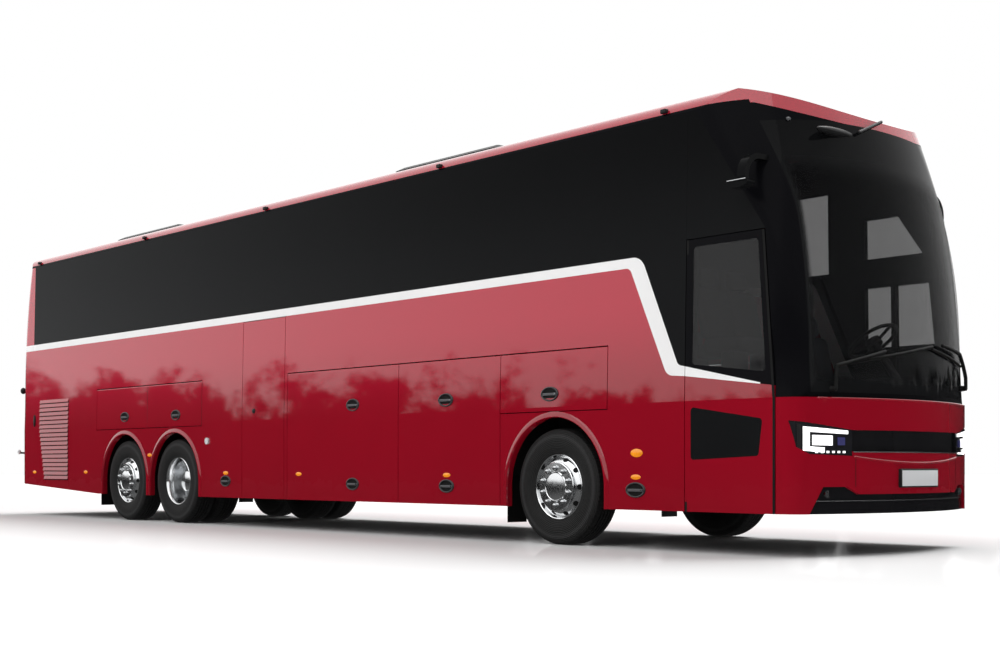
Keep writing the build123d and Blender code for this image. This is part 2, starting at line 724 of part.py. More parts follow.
# Top-hinged flaps along both sides
Flap = namedtuple("Flap", "name side rear_x front_x low_z")
BAY_LOW_Z = SKIRT_Z
FLAPS = (
    Flap("bay_flap_rear_right", RIGHT, RIGHT_BAY_REAR_X, RIGHT_BAY_MID_X, BAY_LOW_Z),
    Flap("bay_flap_front_right", RIGHT, RIGHT_BAY_MID_X, BAY_FRONT_X, BAY_LOW_Z),
    Flap("bay_flap_rear_left", LEFT, LEFT_BAY_REAR_X + SHUT, LEFT_BAY_MID_X, BAY_LOW_Z),
    Flap("bay_flap_front_left", LEFT, LEFT_BAY_MID_X, BAY_FRONT_X, BAY_LOW_Z),
    Flap("front_locker_right", RIGHT, BAY_FRONT_X, SERVICE_X - SHUT, LOCKER_Z + 2 * SHUT),
    Flap("front_locker_left", LEFT, BAY_FRONT_X, SERVICE_X - SHUT, LOCKER_Z + 2 * SHUT),
    Flap(
        "rear_locker_right", RIGHT, REAR_LOCKER_X + SHUT, REAR_LOCKER_FRONT_X - SHUT, LOCKER_Z + 2 * SHUT
    ),
    Flap("rear_locker_left", LEFT, REAR_LOCKER_X + SHUT, REAR_LOCKER_FRONT_X - SHUT, LOCKER_Z + 2 * SHUT),
)
HINGE_Y = half_width(HINGE_Z) - HINGE_R
for flap in FLAPS:
    leaf = side_piece(rect(flap.rear_x + SHUT, flap.front_x - SHUT, flap.low_z, HINGE_Z), side=flap.side)
    with BuildPart() as flap_leaf:
        add(leaf)
        with BuildSketch(Plane.YZ.offset(flap.rear_x + SHUT)):
            with Locations((flap.side * HINGE_Y, HINGE_Z)):
                Circle(HINGE_R)
        extrude(amount=flap.front_x - flap.rear_x - 2 * SHUT)
    save(flap_leaf.part, flap.name)

# Plug doors on swing arms
Door = namedtuple("Door", "name outline post_x lug_z holes rounds")
ARM = 460.0
ARM_T = 36.0
ARM_W = 30.0
POST_Y = -1120.0
POST_R = 22.0
PIN_R = 12.0
LUG_T = 30.0
LUG_W = 50.0
FLOOR_TOP_Z = BELLY_Z + BELLY_T
front_door_outline = (
    (DOOR_REAR_X + 2 * SHUT, SKIRT_Z),
    (FRONT_SPLIT_X - 2 * SHUT, SKIRT_Z),
    (FRONT_SPLIT_X - 2 * SHUT, SILL_Z),
    (corner_start(DOOR_TOP_Z) - 2 * SHUT, DOOR_TOP_Z - 2 * SHUT),
    (DOOR_REAR_X + 2 * SHUT, DOOR_TOP_Z - 2 * SHUT),
)
mid_door_outline = rect(
    MID_DOOR_REAR_X + 2 * SHUT, MID_DOOR_FRONT_X - 2 * SHUT, SKIRT_Z, STRIPE_LOW_Z - 2 * SHUT
)
PANE_CORNER_R = 30.0
front_door_panes = (
    (
        (DOOR_REAR_X + 83, 1530.0),
        (FRONT_SPLIT_X - 100, 1440.0),
        (corner_start(2485.0) - PILLAR, 2485.0),
        (DOOR_REAR_X + 83, 2485.0),
    ),
    (
        (DOOR_REAR_X + 68, 755.0),
        (FRONT_SPLIT_X - 165, 785.0),
        (FRONT_SPLIT_X - 128, 1075.0),
        (DOOR_REAR_X + 68, 1185.0),
    ),
)
door_pane_rounds = [(corner, PANE_CORNER_R) for pane in front_door_panes for corner in pane]
DOORS = (
    Door(
        "front_door", front_door_outline, FRONT_SPLIT_X - 200, (600.0, 1330.0),
        front_door_panes, door_pane_rounds,
    ),
    Door("mid_door", mid_door_outline, MID_DOOR_FRONT_X - 200, (700.0, 1300.0), (), ()),
)
for door in DOORS:
    pin_x = door.post_x - ARM
    leaf = side_piece(door.outline, holes=door.holes, rounds=door.rounds)
    with BuildPart() as door_leaf:
        add(leaf)
        for lug_z in door.lug_z:
            for lug_low in (lug_z - ARM_T / 2 - SEAT - LUG_T, lug_z + ARM_T / 2 + SEAT):
                root_y = WALL - half_width(lug_low + LUG_T) - HINGE_R
                with BuildSketch(Plane.XY.offset(lug_low)):
                    with BuildLine():
                        Polyline(
                            (pin_x - LUG_W, root_y), (pin_x + LUG_W, root_y),
                            (pin_x + LUG_W / 2, POST_Y + LUG_W / 2), (pin_x - LUG_W / 2, POST_Y + LUG_W / 2),
                            close=True,
                        )
                    make_face()
                    with Locations((pin_x, POST_Y)):
                        Circle(PIN_R + SEAT, mode=Mode.SUBTRACT)
                extrude(amount=LUG_T)
    save(door_leaf.part, door.name)
    with BuildPart() as swing_arm:
        with BuildSketch(Plane.XY.offset(FLOOR_TOP_Z + SEAT)):
            with Locations((door.post_x, POST_Y)):
                Circle(POST_R)
        extrude(amount=max(door.lug_z) + LUG_W - FLOOR_TOP_Z)
        for lug_z in door.lug_z:
            with BuildSketch(Plane.XY.offset(lug_z - ARM_T / 2)):
                with Locations((door.post_x - ARM / 2, POST_Y)):
                    Rectangle(ARM, ARM_W)
            extrude(amount=ARM_T)
            with BuildSketch(Plane.XY.offset(lug_z - ARM_T / 2 - LUG_T)):
                with Locations((pin_x, POST_Y)):
                    Circle(PIN_R)
            extrude(amount=ARM_T + 2 * LUG_T)
    save(swing_arm.part, door.name + "_arm")

with BuildPart() as front_door_glass:
    for pane in front_door_panes:
        add(side_piece(pane, inner=GLASS, rounds=[(corner, PANE_CORNER_R) for corner in pane]))
save(front_door_glass.part, "front_door_glass")

# Floors
DECK_HALF = half_width(DECK_Z + DECK_T) - WALL - SEAT
BELLY_HALF = HALF - WALL - SEAT
CRADLE_HALF = 1000.0
STAIR_Y = 400.0
PANEL_GAP = 1.0
PLATFORM_Y = -250.0
Stair = namedtuple("Stair", "rear_x front_x out_y in_y top_z steps")
STAIRS = (
    Stair(DECK_FRONT_X + WALL, DOOR_REAR_X + 560.0, -800.0, PLATFORM_Y, PLATFORM_Z, 2),
    Stair(MID_DOOR_REAR_X, MID_DOOR_FRONT_X, -900.0, -STAIR_Y, DECK_Z, 3),
)
with BuildPart() as deck_floor:
    add(block_at(REAR_SPLIT_X, MID_DOOR_REAR_X - PANEL_GAP, -DECK_HALF, DECK_HALF, DECK_Z, DECK_Z + DECK_T))
    add(block_at(MID_DOOR_REAR_X, MID_DOOR_FRONT_X, -STAIR_Y, DECK_HALF, DECK_Z, DECK_Z + DECK_T))
    add(block_at(MID_DOOR_FRONT_X + PANEL_GAP, DECK_FRONT_X, -DECK_HALF, DECK_HALF, DECK_Z, DECK_Z + DECK_T))
    add(block_at(DECK_FRONT_X + WALL, NOSE_X - 240, PLATFORM_Y, 850, FLOOR_TOP_Z, PLATFORM_Z))
save(deck_floor.part, "deck_floor")

with BuildPart() as stairs:
    for stair in STAIRS:
        tread = (stair.in_y - stair.out_y) / stair.steps
        rise = (stair.top_z - FLOOR_TOP_Z) / (stair.steps + 1)
        with BuildSketch(Plane.YZ.offset(stair.rear_x)):
            with BuildLine():
                treads = [(stair.in_y - SEAT, FLOOR_TOP_Z), (stair.out_y, FLOOR_TOP_Z)]
                for step in range(stair.steps):
                    treads.append((stair.out_y + step * tread, FLOOR_TOP_Z + (step + 1) * rise))
                    treads.append((stair.out_y + (step + 1) * tread - SEAT, FLOOR_TOP_Z + (step + 1) * rise))
                Polyline(*treads, close=True)
            make_face()
        extrude(amount=stair.front_x - stair.rear_x)
save(stairs.part, "stairs")

REAR_BULKHEAD_X = TAG_AXLE_X - 842.0
DRIVE_BULKHEAD_X = DRIVE_AXLE_X + 768.0
FRONT_BULKHEAD_X = FRONT_AXLE_X + 664.0
BAY_BULKHEAD_X = FRONT_AXLE_X - 741.0
REAR_SILL_Z = 620.0
with BuildPart() as underfloor:
    add(
        block_at(DRIVE_BULKHEAD_X, BAY_BULKHEAD_X + BULKHEAD_T, -BELLY_HALF, BELLY_HALF, BELLY_Z, FLOOR_TOP_Z)
    )
    with BuildSketch(Plane.XY.offset(BELLY_Z)):
        with BuildLine():
            Polyline(
                (FRONT_BULKHEAD_X, -BELLY_HALF), (FRONT_SPLIT_X, -BELLY_HALF),
                (NOSE_X - 240, -900), (NOSE_X - 240, 900),
                (FRONT_SPLIT_X, BELLY_HALF), (FRONT_BULKHEAD_X, BELLY_HALF), close=True,
            )
        make_face()
    extrude(amount=BELLY_T)
    rear_end_x = TAIL_X + WALL + SEAT
    add(
        side_plate(
            (
                (REAR_BULKHEAD_X, ramp_z(REAR_BULKHEAD_X) + 5),
                (rear_end_x, ramp_z(rear_end_x) + 5),
                (rear_end_x, REAR_SILL_Z),
                (rear_end_x + WALL, REAR_SILL_Z),
                (rear_end_x + WALL, ramp_z(rear_end_x) + BELLY_T),
                (REAR_BULKHEAD_X, FLOOR_TOP_Z),
            ),
            -CRADLE_HALF,
            CRADLE_HALF,
        )
    )
save(underfloor.part, "underfloor")


def cradle_top(x):
    """Upper face of the sloping floor under the engine."""
    run = (x - REAR_BULKHEAD_X) / (rear_end_x + WALL - REAR_BULKHEAD_X)
    return FLOOR_TOP_Z + run * (ramp_z(rear_end_x) + BELLY_T - FLOOR_TOP_Z)


with BuildPart() as bulkheads:
    for rear_x in (REAR_BULKHEAD_X, DRIVE_BULKHEAD_X, BAY_BULKHEAD_X, FRONT_BULKHEAD_X):
        add(block_at(rear_x, rear_x + BULKHEAD_T, -DECK_HALF, DECK_HALF, FLOOR_TOP_Z, DECK_Z))
save(bulkheads.part, "bulkheads")

HOUSING_T = 30.0
HOUSING_LOW_Z = 780.0
FRONT_HOUSING_Y = 530.0
REAR_HOUSING_Y = 570.0
CROSS_Z = 840.0
CROSS_T = 60.0
CROSS_W = 360.0
with BuildPart() as wheel_housings:
    for side in (RIGHT, LEFT):
        for wall_y, rear_x, front_x in (
            (FRONT_HOUSING_Y, BAY_BULKHEAD_X + BULKHEAD_T + SEAT, FRONT_BULKHEAD_X - SEAT),
            (REAR_HOUSING_Y, REAR_BULKHEAD_X + BULKHEAD_T + SEAT, DRIVE_BULKHEAD_X - SEAT),
        ):
            low_y = min(side * wall_y, side * (wall_y - HOUSING_T))
            high_y = max(side * wall_y, side * (wall_y - HOUSING_T))
            add(block_at(rear_x, front_x, low_y, high_y, HOUSING_LOW_Z, DECK_Z))
    for axle_x, wall_y in (
        (FRONT_AXLE_X, FRONT_HOUSING_Y), (DRIVE_AXLE_X, REAR_HOUSING_Y), (TAG_AXLE_X, REAR_HOUSING_Y),
    ):
        reach = wall_y - HOUSING_T - SEAT
        add(block_at(axle_x - CROSS_W / 2, axle_x + CROSS_W / 2, -reach, reach, CROSS_Z, CROSS_Z + CROSS_T))
save(wheel_housings.part, "wheel_housings")

# Axles, knuckles and springs
BEAM_H = 110.0
BEAM_W = 120.0
BOSS_R = 55.0
FORK_GAP = 6.0
FORK_T = 40.0
SPRING_R = 120.0
SPRING_Y = 330.0
SPRING_PAD_Z = TYRE_R + BEAM_H / 2

with BuildPart() as front_axle:
    with BuildSketch(Plane.XY.offset(TYRE_R - BEAM_H / 2)):
        with Locations((FRONT_AXLE_X, 0)):
            Rectangle(BEAM_W, 2 * KINGPIN_Y)
        for side in (RIGHT, LEFT):
            with Locations((FRONT_AXLE_X, side * KINGPIN_Y)):
                Circle(BOSS_R)
                Circle(KINGPIN_R + SEAT, mode=Mode.SUBTRACT)
    extrude(amount=BEAM_H)
save(front_axle.part, "front_axle")

for side, knuckle_name in ((RIGHT, "knuckle_right"), (LEFT, "knuckle_left")):
    with BuildPart() as knuckle:
        for low_z in (TYRE_R - BEAM_H / 2 - FORK_GAP - FORK_T, TYRE_R + BEAM_H / 2 + FORK_GAP):
            with BuildSketch(Plane.XY.offset(low_z)):
                with Locations((FRONT_AXLE_X, side * KINGPIN_Y)):
                    Circle(BOSS_R)
                with Locations((FRONT_AXLE_X, side * (KINGPIN_Y + BOSS_R + 10))):
                    Rectangle(2 * BOSS_R, 2 * BOSS_R + 20)
            extrude(amount=FORK_T)
        with BuildSketch(Plane.XY.offset(TYRE_R - BEAM_H / 2 - FORK_GAP)):
            with Locations((FRONT_AXLE_X, side * KINGPIN_Y)):
                Circle(KINGPIN_R)
            with Locations((FRONT_AXLE_X, side * (KINGPIN_Y + 1.5 * BOSS_R + 12))):
                Rectangle(2 * BOSS_R, BOSS_R)
        extrude(amount=BEAM_H + 2 * FORK_GAP)
        with BuildSketch(Plane.XZ.offset(-side * (KINGPIN_Y + 2 * BOSS_R))):
            with Locations((FRONT_AXLE_X, TYRE_R)):
                Circle(SPINDLE_R)
        extrude(amount=-side * (HUB_END_Y - KINGPIN_Y - 2 * BOSS_R))
    save(knuckle.part, knuckle_name)

with BuildPart() as drive_axle:
    with BuildSketch(Plane.XZ.offset(-HUB_END_Y)):
        with Locations((DRIVE_AXLE_X, TYRE_R)):
            Circle(SPINDLE_R)
    extrude(amount=2 * HUB_END_Y)
    with BuildSketch(Plane.XZ.offset(-REAR_HOUSING_Y)):
        with Locations((DRIVE_AXLE_X, TYRE_R)):
            Rectangle(2 * BOSS_R, BEAM_H)
    extrude(amount=2 * REAR_HOUSING_Y)
    with BuildSketch(Plane.XZ.offset(-150)):
        with Locations((DRIVE_AXLE_X, TYRE_R)):
            Circle(190)
    extrude(amount=300)
save(drive_axle.part, "drive_axle")

with BuildPart() as tag_axle:
    with BuildSketch(Plane.XZ.offset(-HUB_END_Y)):
        with Locations((TAG_AXLE_X, TYRE_R)):
            Circle(SPINDLE_R)
    extrude(amount=2 * HUB_END_Y)
    with BuildSketch(Plane.XZ.offset(-900)):
        with Locations((TAG_AXLE_X, TYRE_R)):
            Rectangle(2 * BOSS_R, BEAM_H)
    extrude(amount=1800)
save(tag_axle.part, "tag_axle")

with BuildPart() as air_springs:
    with BuildSketch(Plane.XY.offset(SPRING_PAD_Z)):
        for axle_x in (FRONT_AXLE_X, DRIVE_AXLE_X, TAG_AXLE_X):
            with Locations((axle_x, -SPRING_Y), (axle_x, SPRING_Y)):
                Circle(SPRING_R)
    extrude(amount=CROSS_Z - SPRING_PAD_Z)
save(air_springs.part, "air_springs")

# Wheels
Wheel = namedtuple("Wheel", "name axle_x side twin")
WHEELS = (
    Wheel("front_right", FRONT_AXLE_X, RIGHT, False),
    Wheel("front_left", FRONT_AXLE_X, LEFT, False),
    Wheel("drive_right", DRIVE_AXLE_X, RIGHT, True),
    Wheel("drive_left", DRIVE_AXLE_X, LEFT, True),
    Wheel("tag_right", TAG_AXLE_X, RIGHT, False),
    Wheel("tag_left", TAG_AXLE_X, LEFT, False),
)
DISC_T = 22.0
HUB_R = 140.0
BARREL_W = 255.0
HAND_HOLES = 10
HAND_HOLE_R = 26.0
HAND_HOLE_PCR = 222.0
SHOULDER_R = 500.0
CROWN_W = 235.0
single_in_y = TYRE_OUT_Y - TYRE_W
single_disc_y = TYRE_OUT_Y - 60.0
twin_disc_y = TYRE_OUT_Y - TYRE_W / 2 - TWIN_PITCH / 2
for wheel in WHEELS:
    outer_mid = TYRE_OUT_Y - TYRE_W / 2
    mids = (outer_mid, outer_mid - TWIN_PITCH) if wheel.twin else (outer_mid,)
    with BuildPart() as tyre:
        for mid_y in mids:
            with BuildSketch(Plane.YZ.offset(wheel.axle_x)):
                with BuildLine():
                    Polyline(
                        (mid_y - TYRE_W / 2, TYRE_R + BEAD_R + SEAT),
                        (mid_y - TYRE_W / 2, TYRE_R + SHOULDER_R),
                        (mid_y - CROWN_W / 2, 2 * TYRE_R),
                        (mid_y + CROWN_W / 2, 2 * TYRE_R),
                        (mid_y + TYRE_W / 2, TYRE_R + SHOULDER_R),
                        (mid_y + TYRE_W / 2, TYRE_R + BEAD_R + SEAT),
                        close=True,
                    )
                make_face()
            revolve(axis=Axis((wheel.axle_x, 0, TYRE_R), (0, 1, 0)))
    save(on_side(mirror(tyre.part, about=Plane.XZ), wheel.side), "tyre_" + wheel.name)

    disc_y = twin_disc_y if wheel.twin else single_disc_y
    hub_in_y = 620.0 if wheel.twin else single_in_y + 40.0
    hub_out_y = HUB_END_Y + 20.0 if wheel.twin else single_disc_y + 45.0
    with BuildPart() as rim:
        with BuildSketch(Plane.YZ.offset(wheel.axle_x)):
            with Locations(((mids[0] + mids[-1]) / 2, TYRE_R + BEAD_R - DISC_T / 2)):
                Rectangle(mids[0] - mids[-1] + BARREL_W, DISC_T)
            with Locations((disc_y - DISC_T / 2, TYRE_R + (BEAD_R + SPINDLE_R) / 2)):
                Rectangle(DISC_T, BEAD_R - SPINDLE_R - DISC_T)
            with BuildLine():
                Polyline(
                    (hub_in_y, TYRE_R + SPINDLE_R + SEAT),
                    (hub_in_y, TYRE_R + HUB_R),
                    (hub_out_y, TYRE_R + HUB_R - 20),
                    (hub_out_y, TYRE_R),
                    (HUB_END_Y + 5, TYRE_R),
                    (HUB_END_Y + 5, TYRE_R + SPINDLE_R + SEAT),
                    close=True,
                )
            make_face()
        revolve(axis=Axis((wheel.axle_x, 0, TYRE_R), (0, 1, 0)))
        with BuildSketch(Plane.XZ.offset(-disc_y - DISC_T)):
            with Locations((wheel.axle_x, TYRE_R)):
                with PolarLocations(HAND_HOLE_PCR, HAND_HOLES):
                    Circle(HAND_HOLE_R)
        extrude(amount=3 * DISC_T, mode=Mode.SUBTRACT)
    save(on_side(mirror(rim.part, about=Plane.XZ), wheel.side), "rim_" + wheel.name)

# Mudflaps hang on the bulkheads behind the steered and last wheels
FLAP_T = 8.0
with BuildPart() as mudflaps:
    for front_x in (BAY_BULKHEAD_X + BULKHEAD_T, REAR_BULKHEAD_X + BULKHEAD_T):
        for side in (RIGHT, LEFT):
            low_y = min(side * 960, side * 1200)
            high_y = max(side * 960, side * 1200)
            add(block_at(front_x + SEAT, front_x + FLAP_T, low_y, high_y, 180, 620))
save(mudflaps.part, "mudflaps")

# Engine
ENGINE_REAR_X = REAR_SPLIT_X
ENGINE_FRONT_X = REAR_BULKHEAD_X - 350.0
ENGINE_TOP_Z = 1300.0
with BuildPart() as engine:
    add(
        side_plate(
            (
                (ENGINE_REAR_X, cradle_top(ENGINE_REAR_X) + SEAT),
                (ENGINE_FRONT_X, cradle_top(ENGINE_FRONT_X) + SEAT),
                (ENGINE_FRONT_X, ENGINE_TOP_Z),
                (ENGINE_REAR_X, ENGINE_TOP_Z),
            ),
            -500,
            500,
        )
    )
save(engine.part, "engine")

# Cab and seats
WHEEL_Y = 620.0
DASH_X = NOSE_X - 260.0
with BuildPart() as dashboard:
    add(
        side_plate(
            (
                (DASH_X - 450, PLATFORM_Z), (DASH_X - 30, PLATFORM_Z), (DASH_X, 1250),
                (DASH_X - 120, 1330), (DASH_X - 350, 1380), (DASH_X - 450, 1300),
            ),
            -250,
            840,
        )
    )
save(dashboard.part, "dashboard")

Row = namedtuple("Row", "back_x foot_z")
ROW_PITCH = 830.0
ROW_REAR_X = REAR_SPLIT_X + 500.0
ROW_COUNT = int((DECK_FRONT_X - ROW_REAR_X) / ROW_PITCH)
SEAT_ROWS = [Row(ROW_REAR_X + row * ROW_PITCH, DECK_Z + DECK_T) for row in range(ROW_COUNT)]
SEAT_IN_Y = 230.0
SEAT_OUT_Y = 1120.0


def seat_points(back_x, foot_z):
    """Side outline of a seat: plinth, cushion and leaning back."""
    return (
        (back_x + 60, foot_z),
        (back_x + 420, foot_z),
        (back_x + 420, foot_z + 300),
        (back_x + 470, foot_z + 330),
        (back_x + 470, foot_z + 430),
        (back_x + 130, foot_z + 410),
        (back_x - 40, foot_z + 1130),
        (back_x - 130, foot_z + 1130),
        (back_x + 20, foot_z + 300),
        (back_x + 60, foot_z + 300),
    )


with BuildPart() as seats:
    for row in SEAT_ROWS:
        add(side_plate(seat_points(row.back_x, row.foot_z), SEAT_IN_Y, SEAT_OUT_Y))
        if row.back_x > MID_DOOR_FRONT_X or row.back_x + ROW_PITCH < MID_DOOR_REAR_X:
            add(side_plate(seat_points(row.back_x, row.foot_z), -SEAT_OUT_Y, -SEAT_IN_Y))
    add(side_plate(seat_points(DOOR_REAR_X - 62, PLATFORM_Z), WHEEL_Y - 240, WHEEL_Y + 220))
save(seats.part, "seats")

# Camera arms in place of mirrors: a hook off the front pillar with a flat pod below its end
CAMERA_X = FRONT_SPLIT_X - 250.0
CAMERA_Z = 3140.0
CAMERA_REACH_Y = 1425.0
HOOK_W = 80.0
HOOK_T = 42.0
POD_Z = 2905.0
POD_BACK = 15.0
POD_LENGTH = 210.0
POD_HEIGHT = 84.0
with BuildPart() as mirror_cameras:
    for side in (RIGHT, LEFT):
        with BuildSketch(Plane.YZ.offset(CAMERA_X)):
            with BuildLine():
                tip_y = CAMERA_REACH_Y
                root_y = CAMERA_REACH_Y - 420.0
                Line((side * root_y, CAMERA_Z - HOOK_T), (side * root_y, CAMERA_Z))
                Line((side * root_y, CAMERA_Z), (side * (tip_y - 170), CAMERA_Z))
                ThreePointArc(
                    (side * (tip_y - 170), CAMERA_Z),
                    (side * (tip_y - 48), CAMERA_Z - 50),
                    (side * tip_y, POD_Z),
                )
                Line((side * tip_y, POD_Z), (side * (tip_y - HOOK_T), POD_Z))
                ThreePointArc(
                    (side * (tip_y - HOOK_T), POD_Z),
                    (side * (tip_y - 80), CAMERA_Z - 85),
                    (side * (tip_y - 180), CAMERA_Z - HOOK_T),
                )
                Line((side * (tip_y - 180), CAMERA_Z - HOOK_T), (side * root_y, CAMERA_Z - HOOK_T))
            make_face()
        extrude(amount=HOOK_W)
        with BuildSketch(Plane.XZ.offset(-side * (CAMERA_REACH_Y - 100))):
            with Locations((CAMERA_X - POD_BACK, POD_Z)):
                Ellipse(POD_LENGTH / 2, POD_HEIGHT / 2)
        extrude(amount=-side * 100)
    add(upper_hull(-SEAT), mode=Mode.SUBTRACT)
save(mirror_cameras.part, "mirror_cameras")
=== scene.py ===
import logging
from dataclasses import dataclass
from enum import Enum
from math import cos, pi, radians, sin, sqrt, tau
from typing import Callable, Sequence, Union

import bmesh
import bpy
from mathutils import Matrix, Vector


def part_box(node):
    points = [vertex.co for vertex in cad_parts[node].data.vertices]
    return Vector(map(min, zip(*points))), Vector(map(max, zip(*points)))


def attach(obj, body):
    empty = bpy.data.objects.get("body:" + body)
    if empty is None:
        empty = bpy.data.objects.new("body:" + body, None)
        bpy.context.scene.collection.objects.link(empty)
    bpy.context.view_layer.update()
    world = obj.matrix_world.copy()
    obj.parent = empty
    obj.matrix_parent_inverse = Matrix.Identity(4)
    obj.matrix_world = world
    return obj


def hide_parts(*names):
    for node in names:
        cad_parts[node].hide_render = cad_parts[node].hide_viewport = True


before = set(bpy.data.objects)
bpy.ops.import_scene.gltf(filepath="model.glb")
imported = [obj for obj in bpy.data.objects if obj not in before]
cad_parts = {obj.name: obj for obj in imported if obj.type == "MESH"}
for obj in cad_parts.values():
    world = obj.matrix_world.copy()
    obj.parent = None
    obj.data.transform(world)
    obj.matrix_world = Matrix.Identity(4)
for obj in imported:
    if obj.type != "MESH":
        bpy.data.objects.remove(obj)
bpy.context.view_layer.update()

# Stations along the coach are counted so that the joint behind the front panel stands at 6.54.
DATUM_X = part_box("front_panel")[0][0] - 6.54

log = logging.getLogger("coach")

IMAGE_WIDTH = 1000
IMAGE_HEIGHT = 667

Colour = tuple[float, float, float]
Number = Union[float, "Signal"]


class Side(Enum):
    """The two sides of the coach, by the sign of Y."""

    RIGHT = -1
    LEFT = 1

    @property
    def word(self) -> str:
        """Return the side's plain name."""
        return self.name.lower()


class Signal:
    """A shader socket that takes part in plain arithmetic."""

    def __init__(self, tree: bpy.types.NodeTree, socket: bpy.types.NodeSocket) -> None:
        """Keep the tree and the socket."""
        self.tree = tree
        self.socket = socket

    def math(self, operation: str, *terms: Number) -> "Signal":
        """Add one Math node.

        Args:
            operation: the Math node's operation.
            terms: its inputs, in order.

        Returns:
            The node's result.
        """
        node = self.tree.nodes.new("ShaderNodeMath")
        node.operation = operation
        for socket, term in zip(node.inputs, terms):
            if isinstance(term, Signal):
                self.tree.links.new(term.socket, socket)
            else:
                socket.default_value = term
        return Signal(self.tree, node.outputs[0])

    def __add__(self, other: Number) -> "Signal":
        """Return self + other."""
        return self.math("ADD", self, other)

    def __radd__(self, other: Number) -> "Signal":
        """Return other + self."""
        return self.math("ADD", other, self)

    def __sub__(self, other: Number) -> "Signal":
        """Return self - other."""
        return self.math("SUBTRACT", self, other)

    def __rsub__(self, other: Number) -> "Signal":
        """Return other - self."""
        return self.math("SUBTRACT", other, self)

    def __mul__(self, other: Number) -> "Signal":
        """Return self * other."""
        return self.math("MULTIPLY", self, other)

    def __rmul__(self, other: Number) -> "Signal":
        """Return other * self."""
        return self.math("MULTIPLY", other, self)

    def __truediv__(self, other: Number) -> "Signal":
        """Return self / other."""
        return self.math("DIVIDE", self, other)

    def __rtruediv__(self, other: Number) -> "Signal":
        """Return other / self."""
        return self.math("DIVIDE", other, self)

    def above(self, limit: Number) -> "Signal":
        """Return 1 where self is over the limit."""
        return self.math("GREATER_THAN", self, limit)

    def below(self, limit: Number) -> "Signal":
        """Return 1 where self is under the limit."""
        return self.math("LESS_THAN", self, limit)

    def either(self, other: Number) -> "Signal":
        """Return the larger of two."""
        return self.math("MAXIMUM", self, other)

    def size(self) -> "Signal":
        """Return self without its sign."""
        return self.math("ABSOLUTE", self)

    def sine(self) -> "Signal":
        """Return the sine of self."""
        return self.math("SINE", self)

    def rise(self, start: float, end: float) -> "Signal":
        """Ease from 0 to 1 between two values.

        Args:
            start: the value where the result is 0.
            end: the value where the result is 1.

        Returns:
            The eased share.
        """
        node = self.tree.nodes.new("ShaderNodeMapRange")
        node.interpolation_type = "SMOOTHSTEP"
        node.inputs["From Min"].default_value = min(start, end)
        node.inputs["From Max"].default_value = max(start, end)
        node.inputs["To Min"].default_value = 0.0 if start < end else 1.0
        node.inputs["To Max"].default_value = 1.0 if start < end else 0.0
        self.tree.links.new(self.socket, node.inputs["Value"])
        return Signal(self.tree, node.outputs["Result"])


class Painter:
    """Builds one node material around a Principled shader."""

    COLOUR_MIX = (0, 6, 7, 2)

    def __init__(self, name: str) -> None:
        """Start a material.

        Args:
            name: the material's name.
        """
        self.material = bpy.data.materials.new(name)
        self.material.use_nodes = True
        self.tree = self.material.node_tree
        self.shader = self.tree.nodes["Principled BSDF"]

    def node(
        self,
        kind: str,
        settings: dict[str, object] | None = None,
        inputs: dict[Union[str, int], object] | None = None,
        output: Union[str, int] = 0,
    ) -> Signal:
        """Add any node.

        Args:
            kind: the node's type.
            settings: attributes to set on it.
            inputs: constants or signals by socket name or number.
            output: the socket to hand back.

        Returns:
            The chosen output.
        """
        node = self.tree.nodes.new(kind)
        for key, value in (settings or {}).items():
            setattr(node, key, value)
        for key, value in (inputs or {}).items():
            if isinstance(value, Signal):
                self.tree.links.new(value.socket, node.inputs[key])
            else:
                node.inputs[key].default_value = value
        return Signal(self.tree, node.outputs[output])

    def place(self) -> tuple[Signal, Signal, Signal]:
        """Find the point on the coach.

        Returns:
            Its station, Y and Z.
        """
        spot = self.node("ShaderNodeTexCoord", output="Object")
        split = [self.node("ShaderNodeSeparateXYZ", None, {0: spot}, axis) for axis in range(3)]
        return split[0] - DATUM_X, split[1], split[2]

    def noise(self, scale: float, detail: float = 3.0, stretch: Sequence[float] = (1, 1, 1)) -> Signal:
        """Add a cloudy pattern in object space.

        Args:
            scale: its fineness per metre.
            detail: how many finer layers it has.
            stretch: its scale along each axis.

        Returns:
            The pattern, about 0.5 on average.
        """
        spot = self.node("ShaderNodeTexCoord", output="Object")
        turned = self.node("ShaderNodeMapping", None, {"Vector": spot, "Scale": tuple(stretch)})
        wanted = {"Vector": turned, "Scale": scale, "Detail": detail}
        return self.node("ShaderNodeTexNoise", None, wanted)

    def mix(self, share: Number, low: Union[Colour, Signal], high: Union[Colour, Signal]) -> Signal:
        """Blend two colours.

        Args:
            share: 0 for the first, 1 for the second.
            low: the first colour.
            high: the second colour.

        Returns:
            The blend.
        """
        factor, first, second, result = self.COLOUR_MIX
        inputs: dict[Union[str, int], object] = {factor: share}
        for key, colour in ((first, low), (second, high)):
            inputs[key] = colour if isinstance(colour, Signal) else (*colour, 1.0)
        return self.node("ShaderNodeMix", {"data_type": "RGBA"}, inputs, result)

    def bump(self, height: Signal, depth: float) -> Signal:
        """Return a normal raised by a height pattern of that depth in metres."""
        wanted = {"Height": height, "Distance": depth, "Strength": 1.0}
        return self.node("ShaderNodeBump", None, wanted, "Normal")

    def surface(self, **sockets: object) -> None:
        """Set the shader's inputs.

        Args:
            sockets: constants or signals by input name, with underscores for spaces.
        """
        names = {socket.name.lower().replace(" ", "_"): socket for socket in self.shader.inputs}
        for key, value in sockets.items():
            if isinstance(value, Signal):
                self.tree.links.new(value.socket, names[key])
            else:
                is_colour = isinstance(value, tuple) and len(value) == 3
                names[key].default_value = (*value, 1.0) if is_colour else value


